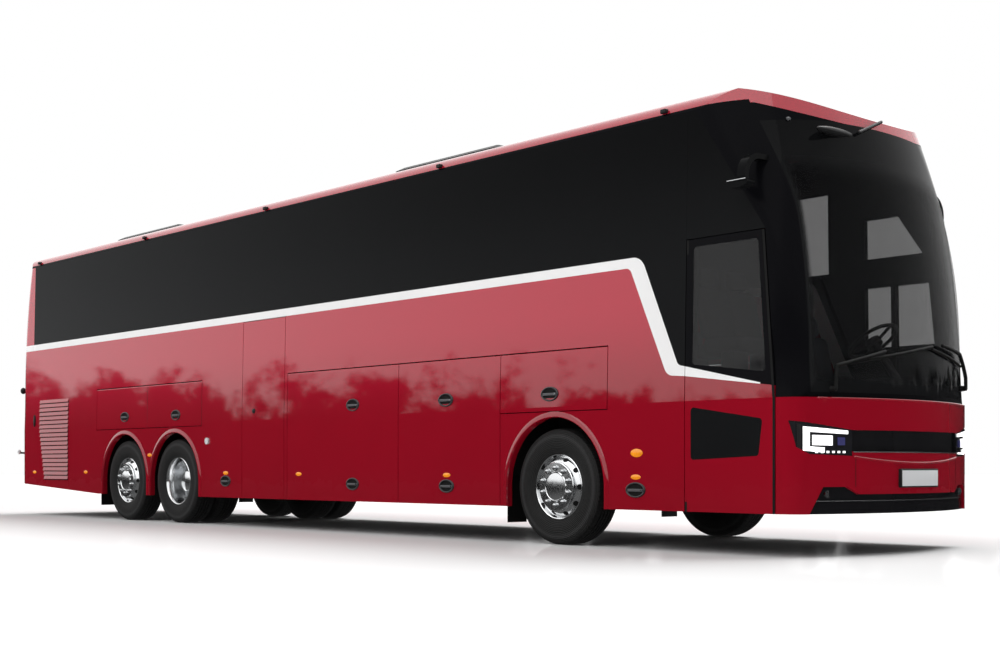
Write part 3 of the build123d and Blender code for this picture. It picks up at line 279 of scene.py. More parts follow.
@dataclass(frozen=True)
class Finish:
    """What a surface is made of."""

    name: str

    def material(self) -> bpy.types.Material:
        """Find the finish's material, or make it on first use.

        Returns:
            The material.
        """
        found = bpy.data.materials.get(self.name)
        if found is None:
            painter = Painter(self.name)
            self.paint(painter)
            found = painter.material
        return found

    def paint(self, painter: Painter) -> None:
        """Fill the material in."""
        raise NotImplementedError


@dataclass(frozen=True)
class CoachPaint(Finish):
    """Glossy coach enamel with a little road dust low down."""

    colour: Colour = (0.32, 0.003, 0.015)
    dust: Colour = (0.16, 0.09, 0.07)
    dust_top_z: float = 0.75
    dust_share: float = 0.04
    coat: float = 1.0
    coat_ior: float = 1.6
    specular: float = 0.02
    shade: float = 0.86
    dust_low_z: float = 0.3
    sheen: float = 0.2
    peel: float = 240.0
    peel_depth: float = 0.00006

    def hue(self, painter: Painter) -> Signal:
        """Return the clean paint's colour, a shade uneven."""
        shade = tuple(part * self.shade for part in self.colour)
        return painter.mix(painter.noise(0.7), shade, self.colour)

    def lacquer(self, painter: Painter) -> Signal | float:
        """Return how much of the clear coat is there."""
        return self.coat

    def paint(self, painter: Painter) -> None:
        """Lay dust over the colour and orange peel over the coat.

        Args:
            painter: the material being made.
        """
        height = painter.place()[2]
        dirt = height.rise(self.dust_top_z, self.dust_low_z) * painter.noise(5.0, 6.0)
        tone = painter.mix(dirt * self.dust_share, self.hue(painter), self.dust)
        painter.surface(
            base_color=tone,
            roughness=painter.noise(9.0) * 0.06 + self.sheen + dirt * 0.18,
            specular_ior_level=self.specular,
            coat_weight=self.lacquer(painter) - dirt * 0.2,
            coat_roughness=0.02,
            coat_ior=self.coat_ior,
            normal=painter.bump(painter.noise(self.peel, 1.0), self.peel_depth),
        )


@dataclass(frozen=True)
class DoorPaint(CoachPaint):
    """Front door: red below, a white stripe running down to a point, black above."""

    white: Colour = (0.90, 0.90, 0.90)
    black: Colour = (0.006, 0.006, 0.007)
    rear_x: float = 5.622
    tip_x: float = 6.39
    low_z: tuple[float, float] = (1.44, 1.345)
    high_z: tuple[float, float] = (1.52, 1.355)

    def zones(self, painter: Painter) -> tuple[Signal, Signal]:
        """Split the door along two slanting lines.

        Args:
            painter: the material being made.

        Returns:
            What lies above the red, and what lies above the stripe.
        """
        along, _, height = painter.place()
        run = (along - self.rear_x) / (self.tip_x - self.rear_x)
        low = height.above(run * (self.low_z[1] - self.low_z[0]) + self.low_z[0])
        high = height.above(run * (self.high_z[1] - self.high_z[0]) + self.high_z[0])
        return low, high.either(low * along.above(self.tip_x))

    def hue(self, painter: Painter) -> Signal:
        """Return red, white and black, from the foot up."""
        low, high = self.zones(painter)
        return painter.mix(high, painter.mix(low, super().hue(painter), self.white), self.black)

    def lacquer(self, painter: Painter) -> Signal | float:
        """Return the coat, which is left off the black."""
        return (1.0 - self.zones(painter)[1]) * self.coat


@dataclass(frozen=True)
class SidePaint(CoachPaint):
    """Enamel of the walls, paler towards the waist, where sky light is painted into the colour."""

    # painted sky light: a paler red higher up the walls, not a change in the paint itself
    pale: Colour = (0.45, 0.006, 0.03)
    pale_from_z: float = 1.2
    pale_to_z: float = 2.1

    def hue(self, painter: Painter) -> Signal:
        """Return the paint's colour, made paler higher up by painted sky light."""
        height = painter.place()[2]
        return painter.mix(height.rise(self.pale_from_z, self.pale_to_z), super().hue(painter), self.pale)


@dataclass(frozen=True)
class BandedPaint(SidePaint):
    """Rear end: red with the white waist stripe carried round."""

    white: Colour = (0.90, 0.90, 0.90)
    low_z: float = 2.385
    high_z: float = 2.47

    def hue(self, painter: Painter) -> Signal:
        """Lay the stripe across the red.

        Args:
            painter: the material being made.

        Returns:
            The colour.
        """
        height = painter.place()[2]
        stripe = height.above(self.low_z) * height.below(self.high_z)
        return painter.mix(stripe, super().hue(painter), self.white)


@dataclass(frozen=True)
class RoofPaint(CoachPaint):
    """Roof: red, paler than the walls with painted sky light, with the black of the window band carried a
    little way up its edge.
    """

    # painted sky light: the roof's red is a paler copy of the walls' red
    colour: Colour = (0.46, 0.012, 0.032)
    black: Colour = (0.004, 0.004, 0.005)
    edge_z: float = 3.63
    edge_half: float = 1.1

    def band(self, painter: Painter) -> Signal:
        """Return where the black is."""
        _, across, height = painter.place()
        return height.below(self.edge_z) * across.size().above(self.edge_half)

    def hue(self, painter: Painter) -> Signal:
        """Return the red and its black edge."""
        return painter.mix(self.band(painter), super().hue(painter), self.black)

    def lacquer(self, painter: Painter) -> Signal | float:
        """Return the coat, which is left off the black."""
        return (1.0 - self.band(painter)) * self.coat


@dataclass(frozen=True)
class BrowPaint(RoofPaint):
    """Frame of the windscreen: black, and red above a line that drops towards the middle."""

    middle_z: float = 3.432
    bow: float = 0.12

    def band(self, painter: Painter) -> Signal:
        """Draw the line between black and red.

        Args:
            painter: the material being made.

        Returns:
            Where the black is.
        """
        _, across, height = painter.place()
        square = across * across
        return height.below(square * square * self.bow + self.middle_z)


@dataclass(frozen=True)
class Plastic(Finish):
    """Moulded plastic, enamel or rubber with a fine grain."""

    colour: Colour = (0.012, 0.012, 0.013)
    roughness: float = 0.45
    grain: float = 900.0
    depth: float = 0.0002
    specular: float = 0.4
    wear: float = 0.3

    def paint(self, painter: Painter) -> None:
        """Grain the surface and vary its sheen.

        Args:
            painter: the material being made.
        """
        faded = tuple(part * (1 + self.wear) + 0.002 for part in self.colour)
        painter.surface(
            base_color=painter.mix(painter.noise(3.0, 5.0), self.colour, faded),
            roughness=painter.noise(14.0) * 0.14 + self.roughness - 0.07,
            specular_ior_level=self.specular,
            normal=painter.bump(painter.noise(self.grain, 2.0), self.depth),
        )


@dataclass(frozen=True)
class TintedGlass(Finish):
    """Dark bonded glass, clear only round the driver, with a painted reflection that makes it a shade lighter
    towards the tail and the waist.
    """

    tint: Colour = (0.0035, 0.0036, 0.004)
    # painted reflection: the lighter tint that the glass takes towards the tail and the waist
    pale: Colour = (0.021, 0.022, 0.023)
    clear: float = 0.55
    cab_x: float = 5.6
    cab_z: float = 1.80
    pane_x: tuple[float, float] = (4.78, 5.27)
    pane_z: tuple[float, float] = (2.53, 3.28)
    specular: float = 0.02
    # where and how strongly the painted reflection lightens the glass
    tail_x: tuple[float, float] = (5.5, -7.5)
    tail_share: float = 0.62
    waist_z: tuple[float, float] = (3.6, 2.2)
    waist_share: float = 0.30

    def opacity(self, painter: Painter) -> Signal:
        """Clear the glass beside the driver.

        Args:
            painter: the material being made.

        Returns:
            How solid the glass is, point by point.
        """
        along, across, height = painter.place()
        pane = along.above(self.pane_x[0]) * along.below(self.pane_x[1])
        pane = pane * height.above(self.pane_z[0]) * height.below(self.pane_z[1])
        cab = along.above(self.cab_x) * height.above(self.cab_z)
        return 1.0 - cab.either(pane) * across.above(0.0) * self.clear

    def tone(self, painter: Painter) -> Signal:
        """Lighten the tint towards the tail and the waist as a painted reflection.

        Args:
            painter: the material being made.

        Returns:
            The tint.
        """
        along, _, height = painter.place()
        share = along.rise(*self.tail_x) * self.tail_share + height.rise(*self.waist_z) * self.waist_share
        return painter.mix(share + painter.noise(0.8) * 0.08, self.tint, self.pale)

    def paint(self, painter: Painter) -> None:
        """Tint the pane and let it through where it is clear.

        Args:
            painter: the material being made.
        """
        painter.surface(
            base_color=self.tone(painter),
            roughness=painter.noise(4.0) * 0.03 + 0.015,
            specular_ior_level=self.specular,
            alpha=self.opacity(painter),
        )


@dataclass(frozen=True)
class ScreenGlass(TintedGlass):
    """Windscreen, clear in the middle with a printed black border."""

    clear: float = 0.62
    border_low_z: float = 1.40
    border_high_z: float = 3.02
    border_half: float = 1.06
    specular: float = 0.04

    def opacity(self, painter: Painter) -> Signal:
        """Keep the border solid and clear the middle.

        Args:
            painter: the material being made.

        Returns:
            How solid the glass is, point by point.
        """
        _, across, height = painter.place()
        low = height.rise(self.border_low_z - 0.05, self.border_low_z + 0.05)
        high = height.rise(self.border_high_z + 0.14, self.border_high_z - 0.06)
        edge = across.size().rise(self.border_half + 0.03, self.border_half - 0.03)
        return 1.0 - low * high * edge * self.clear


@dataclass(frozen=True)
class DoorGlass(TintedGlass):
    """Glass of the front door, clear above and black below."""

    clear: float = 0.45
    specular: float = 0.4
    line_z: float = 1.3

    def opacity(self, painter: Painter) -> Signal:
        """Return the upper pane as clear."""
        height = painter.place()[2]
        return 1.0 - height.above(self.line_z) * self.clear


@dataclass(frozen=True)
class Polished(Finish):
    """Bright metal, a little uneven in tone and shine."""

    colour: Colour = (0.78, 0.79, 0.80)
    roughness: float = 0.14
    mark_scale: float = 60.0
    dull: float = 0.86

    def paint(self, painter: Painter) -> None:
        """Vary the tone and the shine.

        Args:
            painter: the material being made.
        """
        dull = tuple(part * self.dull for part in self.colour)
        painter.surface(
            base_color=painter.mix(painter.noise(3.0, 1.0), dull, self.colour),
            metallic=1.0,
            roughness=painter.noise(self.mark_scale, 1.0) * 0.06 + self.roughness - 0.03,
        )


@dataclass(frozen=True)
class TyreRubber(Finish):
    """Tyre rubber with tread blocks across the crown and ribs on the wall."""

    axle_x: float = 0.0
    axle_z: float = 0.522
    crown_r: float = 0.505
    ring_r: float = 0.455
    blocks: int = 76
    colour: Colour = (0.006, 0.006, 0.0063)
    bloom: Colour = (0.017, 0.0168, 0.0165)
    scuff: Colour = (0.042, 0.042, 0.043)
    slant: float = 40.0
    rib_pitch: float = 420.0
    rib_share: float = 0.22
    relief: float = 0.006

    def paint(self, painter: Painter) -> None:
        """Cut sipes by angle over the crown and rib the side wall by radius.

        Args:
            painter: the material being made.
        """
        along, across, height = painter.place()
        ahead = along - self.axle_x
        up = height - self.axle_z
        angle = ahead.math("ARCTAN2", up, ahead)
        radius = ahead.math("SQRT", ahead * ahead + up * up)
        crown = radius.rise(self.crown_r - 0.006, self.crown_r + 0.004)
        sipes = (angle * float(self.blocks) + across * self.slant).sine().rise(0.55, 0.85)
        ribs = (radius * self.rib_pitch).sine() * (1.0 - crown) * self.rib_share
        worn = painter.noise(20.0, 5.0)
        # a lighter ring round the side wall near the shoulder
        ring = radius.rise(self.ring_r - 0.035, self.ring_r) * radius.rise(self.ring_r + 0.025, self.ring_r)
        tone = painter.mix(worn * (1.0 - crown * 0.5), self.colour, self.bloom)
        painter.surface(
            base_color=painter.mix(ring * 0.6, tone, self.scuff),
            roughness=worn * 0.2 + 0.56,
            specular_ior_level=0.22,
            normal=painter.bump(ribs - sipes * crown, self.relief),
        )


@dataclass(frozen=True)
class Lens(Finish):
    """Lamp lens with fluting that glows a little."""

    colour: Colour = (1.0, 0.33, 0.01)
    glow: float = 0.35
    flute: float = 520.0
    flute_depth: float = 0.0006
    deep: float = 0.55

    def paint(self, painter: Painter) -> None:
        """Flute the lens along the coach and light it from inside.

        Args:
            painter: the material being made.
        """
        along, across, _ = painter.place()
        waves = ((along + across) * self.flute).sine()
        deep = tuple(part * self.deep for part in self.colour)
        tone = painter.mix(painter.noise(60.0), deep, self.colour)
        painter.surface(
            base_color=tone,
            roughness=painter.noise(30.0) * 0.08 + 0.1,
            emission_color=tone,
            emission_strength=self.glow,
            normal=painter.bump(waves, self.flute_depth),
        )


@dataclass(frozen=True)
class Weave(Finish):
    """Woven upholstery."""

    colour: Colour = (0.05, 0.055, 0.07)
    second: Colour = (0.10, 0.10, 0.11)
    threads: float = 700.0
    thread_depth: float = 0.0006

    def paint(self, painter: Painter) -> None:
        """Cross two sets of threads.

        Args:
            painter: the material being made.
        """
        along, across, height = painter.place()
        warp = (across * self.threads).sine()
        weft = ((along + height) * self.threads).sine()
        painter.surface(
            base_color=painter.mix((warp * weft).rise(-0.6, 0.8), self.colour, self.second),
            roughness=painter.noise(40.0) * 0.1 + 0.8,
            specular_ior_level=0.2,
            normal=painter.bump(warp + weft, self.thread_depth),
        )


RED = SidePaint("coach_red")
WHITE = CoachPaint("coach_white", colour=(0.96, 0.96, 0.96), dust_share=0.05, coat=0.4)
DOOR = DoorPaint("door_paint")
REAR = BandedPaint("rear_paint")
ROOF = RoofPaint("roof_paint")
BROW = BrowPaint("brow_paint")
# painted shade: the dark red back stands for the shade in the gaps between the louvre's slats
SLAT_SHADE = CoachPaint("slat_shade", colour=(0.055, 0.0008, 0.003), coat=0.1)
BAND = TintedGlass("band_black", clear=0.0)
BLACK_GLOSS = Plastic("black_gloss", (0.006, 0.006, 0.007), 0.16, 200.0, 0.00002, 0.16)
BLACK_TRIM = Plastic("black_trim", (0.008, 0.008, 0.0085), 0.42, 900.0, 0.0002, 0.22)
SEAL = Plastic("seal_rubber", (0.004, 0.004, 0.004), 0.6, 500.0, 0.0002, 0.15)
UNDER = Plastic("underbody_black", (0.010, 0.010, 0.010), 0.75, 120.0, 0.001, 0.2)
VINYL = Plastic("floor_vinyl", (0.055, 0.056, 0.06), 0.6, 300.0, 0.0004, 0.3)
IRON = Plastic("cast_iron", (0.045, 0.047, 0.05), 0.6, 180.0, 0.001, 0.4)
GLASS = TintedGlass("tinted_glass")
SCREEN = ScreenGlass("screen_glass")
DOOR_GLASS = DoorGlass("door_glass")
ALLOY = Polished("polished_alloy", (0.82, 0.83, 0.84), 0.17, 12.0)
NUT_STEEL = Polished("nut_steel", (0.55, 0.56, 0.57), 0.2, 90.0)
LAMP_BLACK = Plastic("lamp_housing", (0.010, 0.010, 0.012), 0.12, 300.0, 0.00003, 0.4)
RING_GREY = Plastic("ring_grey", (0.020, 0.020, 0.022), 0.3, 600.0, 0.0001, 0.5)
LATCH_GREY = Plastic("latch_grey", (0.075, 0.075, 0.08), 0.4, 600.0, 0.0001, 0.4)
LED = Lens("lamp_white", (1.0, 1.0, 1.0), 1.6)
LENS_BLUE = Lens("lamp_blue", (0.06, 0.06, 0.20), 0.10)
AMBER = Lens("lamp_amber")
TAIL_RED = Lens("lamp_red", (0.45, 0.006, 0.008), 0.08)
PLATE_WHITE = Plastic("plate_white", (0.62, 0.63, 0.64), 0.4, 300.0, 0.00005, 0.4, 0.05)
FABRIC = Weave("seat_weave")


def stations(node: str) -> tuple[Vector, Vector]:
    """Measure a built piece.

    Args:
        node: the piece's name.

    Returns:
        Its lowest and highest corner, with X as a station.
    """
    low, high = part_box(node)
    back = Vector((DATUM_X, 0.0, 0.0))
    return Vector(low) - back, Vector(high) - back


@dataclass(frozen=True)
class CoachForm:
    """Outer surface of the coach, read off the frame."""

    half: float
    sill_z: float
    nose_x: float
    corner_x: float
    eaves_z: float
    eaves_half: float = 1.225
    bow_r: float = 2.71
    screen_step: float = 0.025
    screen_r: float = 8.5
    door_top_z: float = 2.555
    door_back: float = 0.12
    eaves_back: float = 0.84

    @classmethod
    def from_frame(cls) -> "CoachForm":
        """Measure the front panel and the window band."""
        low, high = stations("front_panel")
        return cls(high.y, high.z, high.x, low.x, stations("window_frames")[1].z)

    def side_y(self, z: float) -> float:
        """Return the half width at a height."""
        lean = (self.half - self.eaves_half) / (self.eaves_z - self.sill_z)
        return self.half - max(0.0, z - self.sill_z) * lean

    def corner_start(self, z: float) -> float:
        """Find where the side turns into the front corner.

        Args:
            z: the height.

        Returns:
            The station of the turn there.
        """
        low = min(1.0, max(0.0, z - self.sill_z) / (self.door_top_z - self.sill_z))
        high = max(0.0, z - self.door_top_z) / (self.eaves_z - self.door_top_z)
        return self.corner_x - self.door_back * low - (self.eaves_back - self.door_back) * high

    def front_x(self, y: float, z: float) -> float:
        """Return how far forward the front stands.

        Args:
            y: the place across.
            z: the height.

        Returns:
            The station of the surface there.
        """
        nose, half, start = self.nose_x, self.side_y(z), self.corner_start(z)
        if z > self.sill_z:
            nose -= self.screen_step + (z - self.sill_z) ** 2 / (2 * self.screen_r)
        bow_x = nose - self.bow_r
        corner = (self.bow_r ** 2 - half ** 2 - (start - bow_x) ** 2) / (2 * (self.bow_r - half))
        middle = half - corner
        if abs(y) < middle * self.bow_r / (self.bow_r - corner):
            return bow_x + sqrt(self.bow_r ** 2 - y ** 2)
        return start + sqrt(max(0.0, corner ** 2 - (abs(y) - middle) ** 2))

    def on_front(self, y: float, z: float, proud: float = 0.0) -> Vector:
        """Return a point on the front, or a little off it."""
        return Vector((self.front_x(y, z) + proud, y, z))


FORM = CoachForm.from_frame()


@dataclass(frozen=True)
class Patch:
    """A plate on the lower front: its span across, its edges at both ends and how it stands."""

    y: tuple[float, float]
    low_z: tuple[float, float]
    high_z: tuple[float, float]
    proud: float
    thick: float
    steps: int


class Mesh:
    """A mesh being made, with the shapes that this coach needs."""

    ROUND_STEPS = 3
    OVAL_STEPS = 40

    def __init__(self) -> None:
        """Start an empty mesh."""
        self.bm = bmesh.new()

    def box(self, low: Sequence[float], high: Sequence[float], round_: float) -> None:
        """Add a block between two corners.

        Args:
            low: the lowest corner.
            high: the highest corner.
            round_: the edge rounding.
        """
        size = [abs(b - a) for a, b in zip(low, high)]
        middle = [(a + b) / 2 for a, b in zip(low, high)]
        matrix = Matrix.Translation(middle) @ Matrix.Diagonal((*size, 1.0))
        made = bmesh.ops.create_cube(self.bm, size=1.0, matrix=matrix)["verts"]
        edges = list({edge for vert in made for edge in vert.link_edges})
        bmesh.ops.bevel(
            self.bm, geom=edges, offset=round_, offset_type="OFFSET", segments=self.ROUND_STEPS, profile=0.5,
            affect="EDGES", clamp_overlap=True, material=-1,
        )

    def rod(
        self, start: Sequence[float], end: Sequence[float], r1: float, r2: float | None = None,
        sides: int = 24,
    ) -> None:
        """Add a capped cylinder or cone between two points.

        Args:
            start: the middle of one end.
            end: the middle of the other.
            r1: the radius at the start.
            r2: the radius at the end, or the same.
            sides: how many sides it has.
        """
        first, last = Vector(start), Vector(end)
        run = last - first
        turn = run.to_track_quat("Z", "Y").to_matrix().to_4x4()
        bmesh.ops.create_cone(
            self.bm, cap_ends=True, cap_tris=False, segments=sides, radius1=r1,
            radius2=r1 if r2 is None else r2, depth=run.length,
            matrix=Matrix.Translation((first + last) / 2) @ turn,
        )

    def path(self, points: Sequence[Sequence[float]], radius: float, sides: int) -> None:
        """Add round rods with ball joints along a few points.

        Args:
            points: the ends and bends.
            radius: the rods' radius.
            sides: how many sides they have.
        """
        for start, end in zip(points, points[1:]):
            self.rod(start, end, radius, sides=sides)
        for point in points:
            self.ball(point, radius, sides)

    def ball(
        self, middle: Sequence[float], radius: float, sides: int, stretch: Sequence[float] = (1, 1, 1)
    ) -> None:
        """Add a ball or an egg.

        Args:
            middle: its middle.
            radius: its radius before it is drawn out.
            sides: how many sides it has.
            stretch: how far it is drawn out along each axis.
        """
        matrix = Matrix.Translation(middle) @ Matrix.Diagonal((*stretch, 1.0))
        bmesh.ops.create_uvsphere(
            self.bm, u_segments=sides, v_segments=max(6, sides // 2), radius=radius, matrix=matrix
        )

    def sheet(
        self, shape: Callable[[float, float], Sequence[float]], across: int, up: int, thick: float
    ) -> None:
        """Add a plate bent to a formula.

        Args:
            shape: gives a point for two shares from 0 to 1.
            across: how many steps the first share takes.
            up: how many steps the second share takes.
            thick: the plate's thickness.
        """
        grid = bmesh.ops.create_grid(self.bm, x_segments=across, y_segments=up, size=0.5)["verts"]
        for vert in grid:
            vert.co = Vector(shape(vert.co.x + 0.5, vert.co.y + 0.5))
        faces = list({face for vert in grid for face in vert.link_faces})
        bmesh.ops.recalc_face_normals(self.bm, faces=faces)
        if thick:
            bmesh.ops.solidify(self.bm, geom=faces, thickness=thick)

    def front_patch(self, patch: Patch) -> None:
        """Add a plate on the lower front.

        Args:
            patch: its form.
        """

        def shape(u: float, v: float) -> Sequence[float]:
            """Bend the plate to the front.

            Args:
                u: the share across.
                v: the share up.

            Returns:
                The point for the two shares.
            """
            spans = (patch.y, patch.low_z, patch.high_z)
            y, low, high = (first + (last - first) * u for first, last in spans)
            return FORM.on_front(y, low + (high - low) * v, patch.proud)

        self.sheet(shape, patch.steps, 1, patch.thick)

    def side_patch(
        self, side: Side, low_x: tuple[float, float], high_x: tuple[float, float],
        z_span: tuple[float, float], proud: tuple[float, float], thick: float,
    ) -> None:
        """Add a flat plate on a side wall.

        Args:
            side: which wall.
            low_x: its ends along the coach at the lower edge.
            high_x: its ends along the coach at the upper edge.
            z_span: its lower and upper edge.
            proud: how far the two edges stand out.
            thick: its thickness.
        """

        def shape(u: float, v: float) -> Sequence[float]:
            """Lay the plate against the wall.

            Args:
                u: the share along.
                v: the share up.

            Returns:
                The point for the two shares.
            """
            low, high = (first + (last - first) * u for first, last in (low_x, high_x))
            z, out = (first + (last - first) * v for first, last in (z_span, proud))
            return low * (1 - v) + high * v, side.value * (FORM.side_y(z) + out), z

        self.sheet(shape, 1, 1, thick)

    def turned(
        self, profile: Sequence[tuple[float, float]], middle: Sequence[float], side: Side,
        steps: int, angle: float = tau,
    ) -> None:
        """Spin a profile about a wheel's axle.

        Args:
            profile: points as (how far out from the middle, radius).
            middle: the wheel's middle.
            side: the side that the profile faces.
            steps: how many flats the turn has.
            angle: how far it turns, up from straight ahead.
        """
        verts = []
        for out, radius in profile:
            ray = Vector((radius, side.value * out, 0.0))
            verts.append(self.bm.verts.new(Vector(middle) + ray))
        edges = [self.bm.edges.new(pair) for pair in zip(verts, verts[1:])]
        bmesh.ops.spin(
            self.bm, geom=verts + edges, cent=middle, axis=(0, -1, 0), angle=angle, steps=steps,
            use_merge=abs(angle - tau) < 1e-6,
        )
        bmesh.ops.remove_doubles(self.bm, verts=self.bm.verts[:], dist=1e-6)

    def oval(
        self, profile: Sequence[tuple[float, float]], middle: Sequence[float], side: Side,
        stretch: Sequence[float],
    ) -> None:
        """Spin a profile on a side wall and draw it out.

        Args:
            profile: points as (how far out from the wall, radius).
            middle: the oval's middle.
            side: the side that it faces.
            stretch: how far it is drawn out along each axis.
        """
        before = set(self.bm.verts)
        self.turned(profile, middle, side, self.OVAL_STEPS)
        made = [vert for vert in self.bm.verts if vert not in before]
        bmesh.ops.scale(self.bm, vec=stretch, space=Matrix.Translation(-Vector(middle)), verts=made)

    def mirrored(self) -> None:
        """Add the same on the other side of the coach."""
        everything = self.bm.verts[:] + self.bm.edges[:] + self.bm.faces[:]
        made = bmesh.ops.duplicate(self.bm, geom=everything)["geom"]
        verts = [item for item in made if isinstance(item, bmesh.types.BMVert)]
        faces = [item for item in made if isinstance(item, bmesh.types.BMFace)]
        bmesh.ops.scale(self.bm, vec=(1, -1, 1), verts=verts)
        bmesh.ops.reverse_faces(self.bm, faces=faces)

    def piece(
        self, name: str, body: str, finish: Finish, slot: str, smooth: float = 35.0
    ) -> bpy.types.Object:
        """Finish the mesh as a piece of the coach.

        Args:
            name: the piece's name.
            body: the body that it moves with.
            finish: what it is made of.
            slot: not used.
            smooth: edges under this many degrees are shaded round.

        Returns:
            The piece.
        """
        bmesh.ops.recalc_face_normals(self.bm, faces=self.bm.faces[:])
        bmesh.ops.translate(self.bm, vec=(DATUM_X, 0.0, 0.0), verts=self.bm.verts[:])
        mesh = bpy.data.meshes.new(name)
        self.bm.to_mesh(mesh)
        self.bm.free()
        mesh.shade_smooth()
        mesh.set_sharp_from_angle(angle=radians(smooth))
        made = bpy.data.objects.new(name, mesh)
        bpy.context.scene.collection.objects.link(made)
        mesh.materials.append(finish.material())
        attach(made, body)
        log.info("piece %s on %s, %d faces", name, body, len(mesh.polygons))
        return made


@dataclass(frozen=True)
class Bodywork:
    """Finishes of the pieces that show as they were built."""

    finishes: tuple[tuple[str, Finish], ...] = (
        ("front_panel", RED), ("skirt_front", RED), ("skirt_rear", RED), ("side_rails", RED),
        ("rear_panel", REAR), ("engine_lid", RED), ("roof", ROOF), ("mid_door", RED), ("front_door", DOOR),
        ("bay_flap_rear_right", RED), ("bay_flap_front_right", RED), ("bay_flap_rear_left", RED),
        ("bay_flap_front_left", RED), ("front_locker_right", RED), ("front_locker_left", RED),
        ("rear_locker_right", RED), ("rear_locker_left", RED), ("waist_rails", WHITE),
        ("window_frames", BAND), ("windscreen_frame", BROW), ("front_trim", BLACK_GLOSS),
        ("mirror_cameras", BAND), ("roof_units", BLACK_TRIM), ("side_glass", GLASS), ("rear_glass", GLASS),
        ("windscreen", SCREEN), ("front_door_glass", DOOR_GLASS), ("head_lamps", LAMP_BLACK),
        ("tail_lamps", TAIL_RED), ("deck_floor", VINYL), ("stairs", VINYL), ("underfloor", UNDER),
        ("bulkheads", UNDER), ("wheel_housings", UNDER), ("front_axle", UNDER), ("drive_axle", UNDER),
        ("tag_axle", UNDER), ("knuckle_right", UNDER), ("knuckle_left", UNDER), ("air_springs", SEAL),
        ("mudflaps", SEAL), ("engine", IRON), ("dashboard", BLACK_TRIM), ("front_door_arm", BLACK_TRIM),
        ("mid_door_arm", BLACK_TRIM), ("seats", FABRIC),
    )

    def dress(self) -> None:
        """Give each built piece its finish."""
        for name, finish in self.finishes:
            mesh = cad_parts[name].data
            mesh.materials.clear()
            mesh.materials.append(finish.material())
            log.info("finish %s on %s", finish.name, name)


